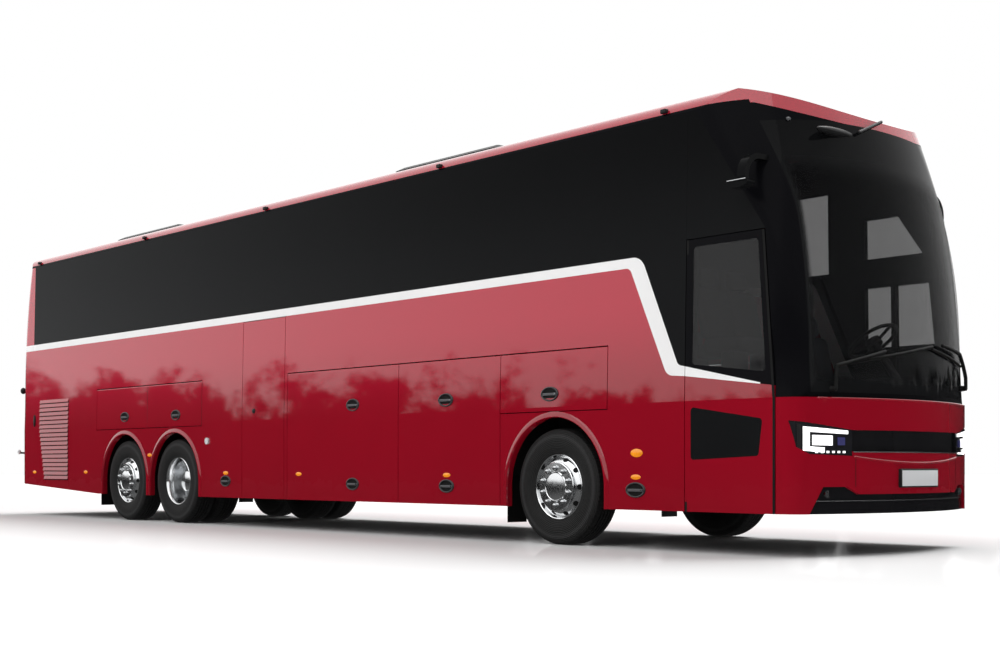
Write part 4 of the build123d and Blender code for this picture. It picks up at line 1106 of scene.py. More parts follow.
@dataclass(frozen=True)
class Wheel:
    """One wheel: tyre, polished rim, hub, nuts, and dark discs of painted shade for the hand holes."""

    name: str
    side: Side
    twin: bool = False
    tread_half: float = 0.118
    shoulder: float = 0.022
    bead_r: float = 0.2865
    grooves: int = 4
    groove_w: float = 0.011
    groove_d: float = 0.014
    nuts: int = 10
    nut_circle: float = 0.1675
    hole_circle: float = 0.222
    domed_hole_circle: float = 0.2495
    hole_r: float = 0.025
    deep_face: float = -0.165
    domed_face: float = 0.1065
    domed_seat: float = 0.158
    domed_lean: tuple[float, float] = (0.764, 0.645)
    barrel_r: float = 0.2845
    barrel_end: float = -0.125
    washer: tuple[float, float, float] = (0.007, 0.0265, 0.025)
    nut: tuple[float, float, float] = (0.022, 0.0205, 0.0185)
    steps: int = 96

    def tyre_profile(self, half: float, radius: float) -> list[tuple[float, float]]:
        """Draw the tyre's section.

        Args:
            half: half the tyre's width.
            radius: the tyre's radius.

        Returns:
            Its points from the outer bead over the crown to the inner bead.
        """
        wall = [
            (half - 0.034, self.bead_r), (half - 0.026, self.bead_r + 0.014),
            (half - 0.006, self.bead_r + 0.06), (half, self.bead_r + 0.105), (half - 0.003, radius - 0.07),
            (half - 0.012, radius - 0.03), (self.tread_half + 0.004, radius - 0.010),
            (self.tread_half - self.shoulder, radius - 0.001),
        ]
        crown: list[tuple[float, float]] = []
        pitch = 2 * (self.tread_half - self.shoulder) / (self.grooves + 1)
        for groove in range(self.grooves):
            centre = self.tread_half - self.shoulder - pitch * (groove + 1)
            near, far = centre + self.groove_w / 2, centre - self.groove_w / 2
            floor = radius - self.groove_d
            crown += [(near, radius), (near, floor), (far, floor), (far, radius)]
        return wall + crown + [(-out, r) for out, r in reversed(wall)]

    def single_profile(self) -> list[tuple[float, float]]:
        """Return the domed rim of a single wheel, from the lip over the nuts' flange to the hub's cap."""
        return [
            (0.050, 0.286), (0.114, 0.288), (0.119, 0.294), (0.123, 0.290), (0.119, 0.283), (0.100, 0.276),
            (0.088, 0.270), (0.090, 0.263), (0.122, 0.236), (0.127, 0.228), (0.128, 0.221), (0.152, 0.2195),
            (0.157, 0.2135), (0.160, 0.136), (0.164, 0.133), (0.168, 0.129), (0.168, 0.125), (0.164, 0.121),
            (0.170, 0.085), (0.174, 0.045), (0.175, 0.0001),
        ]

    def twin_profile(self) -> list[tuple[float, float]]:
        """Return the deep rim of a twin wheel, from the lip in to the hub."""
        return [
            (0.050, 0.286), (0.114, 0.288), (0.119, 0.294), (0.123, 0.290), (0.119, 0.283), (0.098, 0.272),
            (0.020, 0.262), (-0.060, 0.256), (-0.130, 0.250), (-0.160, 0.244), (-0.165, 0.236),
            (-0.165, 0.150), (-0.150, 0.142), (-0.020, 0.132), (0.006, 0.124), (0.012, 0.110),
            (0.0135, 0.0001),
        ]

    def build(self) -> None:
        """Make the tyre and the rim and stand them for the built ones."""
        low, high = stations("tyre_" + self.name)
        radius = (high.z - low.z) / 2
        outer = low.y if self.side is Side.RIGHT else high.y
        single_low, single_high = stations("tyre_tag_right")
        half = (single_high.y - single_low.y) / 2
        middle = Vector(((low.x + high.x) / 2, outer - self.side.value * half, low.z + radius))
        body = "wheel_" + self.name
        section = self.tyre_profile(half, radius)
        tyre = Mesh()
        tyre.turned(section, middle, self.side, self.steps)
        if self.twin:
            span = abs(high.y - low.y) - 2 * half
            inner = middle - Vector((0, self.side.value * span, 0))
            tyre.turned(section, inner, self.side, self.steps)
        axle = self.name.split("_")[0]
        rubber = TyreRubber("tyre_rubber_" + axle, axle_x=middle.x, axle_z=middle.z, crown_r=radius - 0.011)
        made = tyre.piece("tread_tyre_" + self.name, body, rubber, "tyre", 28)
        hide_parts("tyre_" + self.name)
        self.rim(middle, body)

    def rim(self, middle: Vector, body: str) -> None:
        """Make the rim with its nuts, and dark discs of painted shade for the hand holes.

        Args:
            middle: the outer tyre's middle.
            body: the body that it moves with.
        """
        out = Vector((0.0, self.side.value, 0.0))
        profile = self.twin_profile() if self.twin else self.single_profile()
        face, seat = (self.deep_face,) * 2 if self.twin else (self.domed_face, self.domed_seat)
        circle = self.hole_circle if self.twin else self.domed_hole_circle
        lean = Vector((0.0, 1.0) if self.twin else self.domed_lean)
        rim = Mesh()
        rim.turned(profile, middle, self.side, self.steps)
        barrel_ends = [(face - 0.004, self.barrel_r), (self.barrel_end, self.barrel_r)]
        rim.turned(barrel_ends, middle, self.side, self.steps // 2)
        barrel = rim.piece("polished_rim_" + self.name, body, ALLOY, "wheel_alloy", 30)
        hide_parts("rim_" + self.name)
        # the hand holes are not cut: dark discs stand in them as painted shade
        holes, nuts = Mesh(), Mesh()
        for step in range(self.nuts):
            angle = tau * step / self.nuts
            ray = Vector((cos(angle), 0, sin(angle)))
            spot = middle + ray * circle + out * face
            facing = ray * lean.x + out * lean.y
            holes.rod(spot - facing * 0.006, spot + facing * 0.002, self.hole_r)
            between = angle + pi / self.nuts
            shift = Vector((cos(between), 0, sin(between))) * self.nut_circle
            foot = middle + shift + out * seat
            for height, foot_r, top_r in (self.washer, self.nut):
                nuts.rod(foot, foot + out * height, foot_r, top_r)
            height, _, top_r = self.nut
            nuts.ball(foot + out * height, top_r, 16, (1, 0.45, 1))
        holes.piece("hand_holes_" + self.name, body, SEAL, "trim_black")
        nuts.piece("wheel_nuts_" + self.name, body, NUT_STEEL, "wheel_alloy")


@dataclass(frozen=True)
class ArchLips:
    """Rounded lips round the wheel arches."""

    width: float = 0.052
    proud: float = 0.012
    arches: tuple[tuple[str, float], ...] = (("front", 0.62), ("drive", 0.60), ("tag", 0.60))

    def build(self) -> None:
        """Sweep a lip round each arch, on both sides."""
        lips = Mesh()
        low_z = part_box("skirt_front")[0][2]
        for axle, radius in self.arches:
            low, high = stations(f"tyre_{axle}_right")
            middle = Vector(((low.x + high.x) / 2, 0, (low.z + high.z) / 2))
            section = [
                (FORM.half - 0.004, radius - 0.002), (FORM.half + self.proud, radius + 0.004),
                (FORM.half + self.proud, radius + self.width * 0.6), (FORM.half - 0.001, radius + self.width),
            ]
            lips.turned(section, middle, Side.RIGHT, 48, pi)
            self.legs(lips, section, middle, low_z)
        bmesh.ops.remove_doubles(lips.bm, verts=lips.bm.verts[:], dist=1e-5)
        lips.mirrored()
        lips.piece("arch_lips", "coach", RED, "body_red")

    def legs(self, lips: Mesh, section: Sequence[tuple[float, float]], middle: Vector, low_z: float) -> None:
        """Carry both ends of a lip straight down.

        Args:
            lips: the mesh to add to.
            section: the lip's section, as (half width, radius) points.
            middle: the arch's middle.
            low_z: where the lip ends.
        """
        for way in (-1, 1):
            points = [middle + Vector((way * radius, -out, 0.0)) for out, radius in section]
            verts = [lips.bm.verts.new(point) for point in points]
            edges = [lips.bm.edges.new(pair) for pair in zip(verts, verts[1:])]
            made = bmesh.ops.extrude_edge_only(lips.bm, edges=edges)["geom"]
            foot = [item for item in made if isinstance(item, bmesh.types.BMVert)]
            bmesh.ops.translate(lips.bm, vec=(0.0, 0.0, low_z - middle.z), verts=foot)


@dataclass(frozen=True)
class Spot:
    """A small fitting on a side wall."""

    body: str
    x: float
    z: float


@dataclass(frozen=True)
class SideFittings:
    """Latches, marker lamps, locks and caps along the right side, and their like on the left."""

    latch_r: float = 0.066
    latch_stretch: tuple[float, float, float] = (1.7, 1.0, 1.0)
    paddle_half: float = 0.086
    paddle_below: float = 0.014
    paddle_above: float = 0.010
    key_ahead: float = 0.07
    key_r: float = 0.010
    key_proud: float = 0.014
    marker_r: float = 0.056
    marker_stretch: tuple[float, float, float] = (1.0, 0.2, 0.40)
    indicator_r: float = 0.062
    indicator_stretch: tuple[float, float, float] = (1.1, 0.28, 0.58)
    cap_r: float = 0.04
    cap_deep: float = 0.01
    cap_proud: float = 0.02
    seam_w: float = 0.006
    seam_below: float = 0.262
    seam_above: float = 0.255
    seam_proud: float = 0.0006
    latches: tuple[Spot, ...] = (
        Spot("rear_locker", -3.949, 1.35), Spot("rear_locker", -2.62, 1.34),
        Spot("bay_flap_rear", 1.077, 1.348), Spot("bay_flap_front", 2.597, 1.348),
        Spot("front_locker", 4.048, 1.352), Spot("coach", 5.089, 0.504),
        Spot("bay_flap_rear", 1.077, 0.518), Spot("bay_flap_front", 2.612, 0.512),
        Spot("coach", -1.446, 0.53),
    )
    left_latches: tuple[Spot, ...] = (
        Spot("rear_locker", -3.949, 1.35), Spot("rear_locker", -2.62, 1.34),
        Spot("bay_flap_rear", 0.0, 1.348), Spot("bay_flap_front", 2.2, 1.348),
        Spot("front_locker", 4.048, 1.352), Spot("bay_flap_rear", 0.0, 0.518),
        Spot("bay_flap_front", 2.2, 0.512), Spot("coach", -1.446, 0.53),
        Spot("coach", 5.089, 0.504),
    )
    markers: tuple[Spot, ...] = (
        Spot("coach", -1.446, 0.625), Spot("bay_flap_rear", 0.076, 0.619),
        Spot("bay_flap_front", 2.612, 0.619), Spot("coach", -5.069, 0.626),
        Spot("coach", -6.693, 0.621), Spot("coach", -3.28, 0.848), Spot("coach", 5.089, 0.613),
    )
    seams: tuple[Spot, ...] = (Spot("rear_locker", -3.35, 1.465), Spot("rear_locker", -2.0, 1.465))
    indicator_at: Spot = Spot("coach", 5.10, 0.816)
    cap_at: Spot = Spot("coach", -1.855, 1.008)
    grip_at: Spot = Spot("coach", -6.693, 1.362)
    grip_section: tuple[tuple[float, float], ...] = (
        (-0.002, 0.03), (0.012, 0.028), (0.016, 0.02), (0.016, 0.0001),
    )
    grip_stretch: tuple[float, float, float] = (1.0, 1.0, 2.9)
    lock_at: Spot = Spot("mid_door", -0.837, 1.34)
    lock_section: tuple[tuple[float, float], ...] = (
        (-0.002, 0.03), (0.006, 0.028), (0.008, 0.02), (0.008, 0.0001),
    )
    lock_stretch: tuple[float, float, float] = (1.0, 1.0, 1.0)

    def body(self, spot: Spot, side: Side) -> str:
        """Return the body that a fitting moves with."""
        return spot.body if spot.body in ("coach", "mid_door") else f"{spot.body}_{side.word}"

    def on_wall(self, spot: Spot, side: Side) -> Vector:
        """Return the point of the wall under a fitting."""
        return Vector((spot.x, side.value * FORM.side_y(spot.z), spot.z))

    def build(self) -> None:
        """Fit both sides."""
        for side, latches in ((Side.RIGHT, self.latches), (Side.LEFT, self.left_latches)):
            for body in dict.fromkeys(self.body(spot, side) for spot in latches):
                self.latch_set(body, side, [spot for spot in latches if self.body(spot, side) == body])
            for number, spot in enumerate(self.markers):
                self.marker(f"marker_{side.word}_{number}", spot, side)
            for number, spot in enumerate(self.seams):
                self.seam(f"seam_{side.word}_{number}", spot, side)
            self.indicator(side)
            self.filler_cap(side)
            grip = Mesh()
            grip.oval(self.grip_section, self.on_wall(self.grip_at, side), side, self.grip_stretch)
            grip.piece(f"quarter_grip_{side.word}", "coach", BLACK_TRIM, "trim_black")
        lock = Mesh()
        lock.oval(self.lock_section, self.on_wall(self.lock_at, Side.RIGHT), Side.RIGHT, self.lock_stretch)
        lock.piece("mid_door_lock", "mid_door", BLACK_TRIM, "trim_black")

    def latch_set(self, body: str, side: Side, spots: Sequence[Spot]) -> None:
        """Make the oval paddle latches of one body.

        Args:
            body: the body that they move with.
            side: which wall.
            spots: where they are.
        """
        ring, dish, paddle, lock = Mesh(), Mesh(), Mesh(), Mesh()
        section = [
            (-0.002, self.latch_r), (0.009, self.latch_r - 0.002), (0.012, self.latch_r - 0.007),
            (0.009, self.latch_r - 0.012), (0.0008, self.latch_r - 0.015),
        ]
        well = [(0.0008, self.latch_r - 0.014), (0.0008, 0.0001)]
        for spot in spots:
            middle = self.on_wall(spot, side)
            ring.oval(section, middle, side, self.latch_stretch)
            dish.oval(well, middle, side, self.latch_stretch)
            out = sorted(middle.y + side.value * depth for depth in (0.001, 0.011))
            paddle.box(
                (spot.x - self.paddle_half, out[0], spot.z - self.paddle_below),
                (spot.x + self.paddle_half, out[1], spot.z + self.paddle_above), 0.004,
            )
            key = middle + Vector((self.key_ahead, 0.0, 0.0))
            lock.rod(key, key + Vector((0.0, side.value * self.key_proud, 0.0)), self.key_r, sides=16)
        for mesh, word, finish in (
            (ring, "ring", RING_GREY), (dish, "well", SEAL), (paddle, "paddle", LATCH_GREY),
            (lock, "lock", NUT_STEEL),
        ):
            mesh.piece(f"latch_{word}_{side.word}_{body}", body, finish, "trim_black")

    def marker(self, name: str, spot: Spot, side: Side) -> None:
        """Make one amber marker lamp.

        Args:
            name: the piece's name.
            spot: where it is.
            side: which wall.
        """
        lamp = Mesh()
        lamp.ball(self.on_wall(spot, side), self.marker_r, 20, self.marker_stretch)
        lamp.piece(name, self.body(spot, side), AMBER, "lamp_clear")

    def seam(self, name: str, spot: Spot, side: Side) -> None:
        """Make one upright joint in a locker's flap.

        Args:
            name: the piece's name.
            spot: its middle.
            side: which wall.
        """
        joint = Mesh()
        ends = (spot.x - self.seam_w / 2, spot.x + self.seam_w / 2)
        span = (spot.z - self.seam_below, spot.z + self.seam_above)
        joint.side_patch(side, ends, ends, span, (self.seam_proud, self.seam_proud), 0.0005)
        joint.piece(name, self.body(spot, side), SEAL, "trim_black")

    def indicator(self, side: Side) -> None:
        """Make the larger lamp ahead of the front wheel.

        Args:
            side: which wall.
        """
        lamp = Mesh()
        lamp.ball(self.on_wall(self.indicator_at, side), self.indicator_r, 24, self.indicator_stretch)
        lamp.piece(f"side_indicator_{side.word}", "coach", AMBER, "lamp_clear")

    def filler_cap(self, side: Side) -> None:
        """Make the cap ahead of the drive wheel.

        Args:
            side: which wall.
        """
        cap = Mesh()
        wall, out = self.on_wall(self.cap_at, side), Vector((0.0, side.value, 0.0))
        cap.rod(wall - out * self.cap_deep, wall + out * self.cap_proud, self.cap_r)
        cap.piece(f"filler_cap_{side.word}", "coach", PLATE_WHITE, "stripe_white")


@dataclass(frozen=True)
class Louvres:
    """Slatted air inlet behind the last wheel."""

    slats: int = 19
    low_z: float = 0.51
    high_z: float = 1.655
    front_x: float = -5.605
    rear_low_x: float = -6.36
    rear_high_x: float = -6.525
    slant: float = 1.6
    gap: float = 0.24
    slat_proud: tuple[float, float] = (0.012, 0.002)
    back_proud: float = 0.0015
    back_share: float = 0.96

    def rear_x(self, z: float) -> float:
        """Return the slanted rear edge at a height."""
        share = self.slant * ((z - self.low_z) / (self.high_z - self.low_z))
        return self.rear_low_x + (self.rear_high_x - self.rear_low_x) * max(0.0, min(1.0, share))

    def build(self) -> None:
        """Set slats over a dark back of painted shade, on both sides."""
        back, slats = Mesh(), Mesh()
        pitch = (self.high_z - self.low_z) / self.slats
        behind = (self.back_proud, self.back_proud)
        for side in Side:
            for step in range(self.slats):
                low = self.low_z + step * pitch
                ends = (self.rear_x(low), self.front_x)
                back.side_patch(side, ends, ends, (low, low + pitch * self.back_share), behind, 0.001)
                span = (low + pitch * self.gap, low + pitch)
                slats.side_patch(side, ends, ends, span, self.slat_proud, 0.003)
        # the dark back is painted shade in the gaps between the slats
        back.piece("louvre_back", "coach", SLAT_SHADE, "body_red")
        slats.piece("louvre_slats", "coach", RED, "body_red")


@dataclass(frozen=True)
class FrontFace:
    """Lamp units, grille line, ledge, plate and lower lip of the front."""

    guides: tuple[Patch, ...] = (
        Patch((-1.179, -0.807), (0.970, 0.952), (1.009, 0.979), 0.004, 0.012, 14),
        Patch((-1.179, -1.131), (0.828, 0.824), (1.0, 0.998), 0.004, 0.012, 4),
        Patch((-1.179, -1.011), (0.824, 0.809), (0.860, 0.848), 0.004, 0.012, 8),
    )
    block: Patch = Patch((-1.107, -0.943), (0.866, 0.864), (0.944, 0.940), 0.003, 0.012, 6)
    lens: Patch = Patch((-0.895, -0.835), (0.866, 0.866), (0.928, 0.926), 0.003, 0.012, 4)
    post: Patch = Patch((-1.215, -1.192), (0.85, 0.832), (1.035, 1.028), 0.003, 0.01, 3)
    dots: int = 6
    dot_y: float = -1.083
    dot_pitch: float = 0.047
    dot_w: float = 0.018
    dot_z: tuple[float, float] = (0.806, 0.822)
    grille_line: Patch = Patch((-0.758, 0.758), (0.811, 0.811), (0.820, 0.820), 0.004, 0.02, 30)
    panel_joint: Patch = Patch((-0.735, -0.731), (0.545, 0.545), (0.782, 0.782), 0.0008, 0.001, 1)
    lip_strip: Patch = Patch((-1.10, 1.10), (0.432, 0.432), (0.440, 0.440), -0.018, 0.006, 30)
    ledge_z: float = 0.730
    ledge_rise: float = 0.084
    ledge_half: float = 0.74
    ledge_r: float = 0.011
    bead_z: float = 1.228
    bead_half: float = 1.06
    bead_r: float = 0.010
    ledge_steps: int = 10
    plate_z: float = 0.609
    plate_w: float = 0.52
    plate_h: float = 0.125
    plate_t: float = 0.003
    holder_rim: float = 0.012
    fog_y: float = 0.965
    fog_z: float = 0.49
    fog_r: float = 0.03
    fog_deep: float = 0.024

    def build(self) -> None:
        """Dress the front from the lamps down."""
        self.lamps()
        self.lines()
        self.plate()
        self.fogs()

    def lamps(self) -> None:
        """Make the light guides, the lamp blocks, the lenses and the row of small lights."""
        guide, block, lens, post = Mesh(), Mesh(), Mesh(), Mesh()
        for patch in self.guides:
            guide.front_patch(patch)
        block.front_patch(self.block)
        for step in range(self.dots):
            y = self.dot_y + step * self.dot_pitch
            low, high = self.dot_z
            block.front_patch(Patch((y, y + self.dot_w), (low, low), (high, high), 0.002, 0.01, 2))
        lens.front_patch(self.lens)
        post.front_patch(self.post)
        for mesh, name, finish, slot in (
            (guide, "light_guides", LED, "lamp_clear"), (block, "lamp_blocks", LED, "lamp_clear"),
            (lens, "lamp_lenses", LENS_BLUE, "lamp_clear"), (post, "lamp_posts", BLACK_TRIM, "trim_black"),
        ):
            mesh.mirrored()
            mesh.piece(name, "coach", finish, slot)

    def lines(self) -> None:
        """Make the bright line under the grille, the ledge below it and the joints of the front panel."""
        line, ledge, joint, strip = Mesh(), Mesh(), Mesh(), Mesh()
        line.front_patch(self.grille_line)
        line.piece("grille_line", "coach", NUT_STEEL, "trim_black")
        for step in range(self.ledge_steps):
            ends = [self.ledge_half * (step + part) / self.ledge_steps for part in (0, 1)]
            run = [FORM.on_front(-y, self.ledge_z + self.ledge_rise * y * y, -0.003) for y in ends]
            ledge.path(run, self.ledge_r, 10)
            ends = [self.bead_half * (step + part) / self.ledge_steps for part in (0, 1)]
            run = [FORM.on_front(-y, self.bead_z, -0.004) for y in ends]
            ledge.path(run, self.bead_r, 10)
        ledge.mirrored()
        ledge.piece("front_ledge", "coach", RED, "body_red")
        joint.front_patch(self.panel_joint)
        joint.mirrored()
        joint.piece("front_joints", "coach", SEAL, "trim_black")
        strip.front_patch(self.lip_strip)
        strip.piece("lip_strip", "coach", NUT_STEEL, "trim_black")

    def plate(self) -> None:
        """Make the bare number plate and its holder."""
        front = FORM.front_x(0.0, self.plate_z)
        holder, plate = Mesh(), Mesh()
        half_w, half_h = self.plate_w / 2, self.plate_h / 2
        wide, high = half_w + self.holder_rim, half_h + self.holder_rim
        holder.box(
            (front - 0.03, -wide, self.plate_z - high), (front + 0.012, wide, self.plate_z + high), 0.004
        )
        face = front + 0.0125
        plate.box(
            (face, -half_w, self.plate_z - half_h), (face + self.plate_t, half_w, self.plate_z + half_h),
            0.001,
        )
        holder.piece("plate_holder", "coach", BLACK_TRIM, "trim_black")
        plate.piece("number_plate", "coach", PLATE_WHITE, "stripe_white")

    def fogs(self) -> None:
        """Make the fog lamps in the lower lip."""
        fog = Mesh()
        for side in Side:
            y = side.value * self.fog_y
            x = FORM.front_x(y, self.fog_z) - self.fog_deep
            fog.rod((x - 0.03, y, self.fog_z), (x + 0.004, y, self.fog_z), self.fog_r)
        fog.piece("fog_lamps", "coach", NUT_STEEL, "lamp_clear")


@dataclass(frozen=True)
class Wiper:
    """One windscreen wiper, parked: pivot, arm and blade, as (Y, Z) points on the glass."""

    name: str
    arm: tuple[tuple[float, float], ...]
    blade: tuple[tuple[float, float], ...]
    arm_r: float = 0.016
    arm_proud: float = 0.04
    blade_r: float = 0.012
    blade_proud: float = 0.018

    def line(self, points: Sequence[tuple[float, float]], proud: float, steps: int = 6) -> list[Vector]:
        """Return a run of points a little off the glass.

        Args:
            points: the corners of the run.
            proud: how far off the glass it is.
            steps: how many steps each leg has.

        Returns:
            The points.
        """
        run = []
        for (y1, z1), (y2, z2) in zip(points, points[1:]):
            for step in range(steps + 1):
                share = step / steps
                run.append(FORM.on_front(y1 + (y2 - y1) * share, z1 + (z2 - z1) * share, proud))
        return run

    def build(self) -> None:
        """Make the wiper on its pivot."""
        wiper = Mesh()
        root = FORM.on_front(*self.arm[0])
        wiper.rod(root, root + Vector((0.045, 0.0, 0.0)), 0.026, 0.02)
        wiper.path(self.line(self.arm, self.arm_proud), self.arm_r, 10)
        wiper.path(self.line(self.blade, self.blade_proud), self.blade_r, 8)
        wiper.piece(self.name, "coach", SEAL, "trim_black")


WIPERS = (
    Wiper(
        "wiper_right",
        arm=((-0.93, 1.30), (-0.919, 1.479), (-0.443, 1.602)),
        blade=((-0.80, 1.50), (0.249, 1.68)),
    ),
    Wiper(
        "wiper_left",
        arm=((1.12, 1.38), (1.13, 1.47), (0.853, 1.657), (0.40, 1.70)),
        blade=((0.25, 1.66), (0.95, 1.56)),
    ),
)


@dataclass(frozen=True)
class Upperworks:
    """Fittings above the waist, from the front camera to the stalks at the tail.

    Places on the front are (Y, Z), and places at the tail count from the rear panel.
    """

    camera_at: tuple[float, float] = (-0.617, 3.352)
    camera_r: float = 0.26
    camera_stretch: tuple[float, float, float] = (0.18, 1.0, 0.14)
    arm: tuple[tuple[float, float], ...] = ((-0.395, 3.379), (-0.075, 3.512))
    arm_proud: float = 0.03
    clearance_at: tuple[float, float] = (-0.955, 3.446)
    clearance_r: float = 0.03
    clearance_stretch: tuple[float, float, float] = (0.5, 1.0, 0.5)
    pod_x: tuple[float, float] = (6.19, 6.37)
    pod_z: float = 2.922
    pod_strip_half: float = 0.004
    spouts: tuple[float, ...] = (5.364, 2.441, -0.668, -3.507, -6.634)
    spout_z: float = 3.655
    spout_half: float = 0.03
    seal_w: float = 0.022
    seal_proud: tuple[float, float] = (0.001, 0.001)
    seal_t: float = 0.002
    stalk: tuple[tuple[float, float, float], ...] = ((0.07, -1.20, 0.90), (0.03, -1.262, 0.905))
    stalk_r: float = 0.014
    knob_at: tuple[float, float, float] = (0.06, -1.232, 1.82)
    knob_r: float = 0.04
    tail_lens_at: tuple[float, float, float] = (0.02, -1.275, 0.916)
    tail_lens_r: float = 0.032

    def build(self) -> None:
        """Fit the upper parts."""
        self.front_camera()
        self.pod_strips()
        self.roof_spouts()
        self.door_seals()
        self.tail_stalks()

    def front_camera(self) -> None:
        """Make the flat housing at the top of the windscreen, its arm and the clearance lamps."""
        housing, lamps = Mesh(), Mesh()
        housing.ball(FORM.on_front(*self.camera_at), self.camera_r, 32, self.camera_stretch)
        housing.path([FORM.on_front(*point, self.arm_proud) for point in self.arm], self.stalk_r, 10)
        housing.piece("front_camera", "coach", BLACK_TRIM, "trim_black")
        lamps.ball(FORM.on_front(*self.clearance_at), self.clearance_r, 16, self.clearance_stretch)
        lamps.mirrored()
        lamps.piece("clearance_lamps", "coach", LATCH_GREY, "trim_black")

    def pod_strips(self) -> None:
        """Make the bright strips along the camera pods."""
        strips = Mesh()
        out = stations("mirror_cameras")[1].y
        rear, front = self.pod_x
        low, high = self.pod_z - self.pod_strip_half, self.pod_z + self.pod_strip_half
        strips.box((rear, out - 0.004, low), (front, out + 0.002, high), 0.001)
        strips.mirrored()
        strips.piece("pod_strips", "coach", NUT_STEEL, "trim_black")

    def roof_spouts(self) -> None:
        """Make the drain spouts along the roof's edge."""
        spouts = Mesh()
        edge = FORM.side_y(self.spout_z)
        for x in self.spouts:
            spouts.box(
                (x - self.spout_half, edge - 0.02, self.spout_z - 0.02),
                (x + self.spout_half, edge + 0.022, self.spout_z + 0.016), 0.006,
            )
        spouts.mirrored()
        spouts.piece("roof_spouts", "coach", BLACK_TRIM, "trim_black")

    def door_seals(self) -> None:
        """Make the rubber seals up both edges of the front door."""
        seals = Mesh()
        low, high = stations("front_door")
        rear = (low.x, low.x + self.seal_w)
        front = (high.x - self.seal_w, high.x)
        top_front = tuple(x - FORM.door_back for x in front)
        for foot, top, span in (
            (rear, rear, (low.z, high.z)),
            (front, front, (low.z, FORM.sill_z)),
            (front, top_front, (FORM.sill_z, high.z)),
        ):
            seals.side_patch(Side.RIGHT, foot, top, span, self.seal_proud, self.seal_t)
        seals.piece("door_seals", "front_door", SEAL, "trim_black")

    def tail_stalks(self) -> None:
        """Make the marker lamps on rubber stalks and the knobs at the rear corners."""
        stalks, lenses = Mesh(), Mesh()
        tail = Vector((stations("rear_panel")[0].x, 0.0, 0.0))
        stalks.path([tail + Vector(point) for point in self.stalk], self.stalk_r, 10)
        stalks.ball(tail + Vector(self.knob_at), self.knob_r, 16, (1.0, 1.0, 1.2))
        lenses.ball(tail + Vector(self.tail_lens_at), self.tail_lens_r, 16, (0.8, 0.8, 1.1))
        stalks.mirrored()
        lenses.mirrored()
        stalks.piece("tail_stalks", "coach", BLACK_TRIM, "trim_black")
        lenses.piece("tail_markers", "coach", PLATE_WHITE, "lamp_clear")


@dataclass(frozen=True)
class Cab:
    """What shows through the windscreen: the steering wheel on its column."""

    wheel_y: float = 0.62
    wheel_x: float = 6.16
    wheel_z: float = 1.80
    wheel_r: float = 0.225
    rim_r: float = 0.016
    rake: float = -35.0
    spokes: tuple[float, ...] = (0.0, 0.8 * pi, 1.2 * pi)
    spoke_r: float = 0.014
    boss_r: float = 0.07
    column_r: float = 0.035
    column_end: float = -0.55

    def build(self) -> None:
        """Make the steering wheel on its column."""
        steering = Mesh()
        ring = bmesh.ops.create_circle(
            steering.bm, segments=12, radius=self.rim_r,
            matrix=Matrix.Translation((self.wheel_r, 0, 0)) @ Matrix.Rotation(pi / 2, 4, "X"),
        )["verts"]
        edges = list({edge for vert in ring for edge in vert.link_edges})
        bmesh.ops.spin(
            steering.bm, geom=ring + edges, cent=(0, 0, 0), axis=(0, 0, 1), angle=tau, steps=48,
            use_merge=True,
        )
        for angle in self.spokes:
            tip = (self.wheel_r * cos(angle), self.wheel_r * sin(angle), 0)
            steering.rod((0, 0, -0.03), tip, self.spoke_r)
        steering.rod((0, 0, -0.05), (0, 0, 0.01), self.boss_r)
        steering.rod((0, 0, self.column_end), (0, 0, -0.03), self.column_r)
        place = Matrix.Translation((self.wheel_x, self.wheel_y, self.wheel_z))
        lean = Matrix.Rotation(radians(self.rake), 4, "Y")
        bmesh.ops.transform(steering.bm, matrix=place @ lean, verts=steering.bm.verts[:])
        steering.piece("steering_wheel", "coach", BLACK_TRIM, "trim_black")


@dataclass(frozen=True)
class SeatBlock:
    """One block of a seat: its spans ahead and up from the foot, its share of the width and its lean."""

    x: tuple[float, float]
    z: tuple[float, float]
    share: float = 1.0
    lean: float = 0.0
    round_: float = 0.045


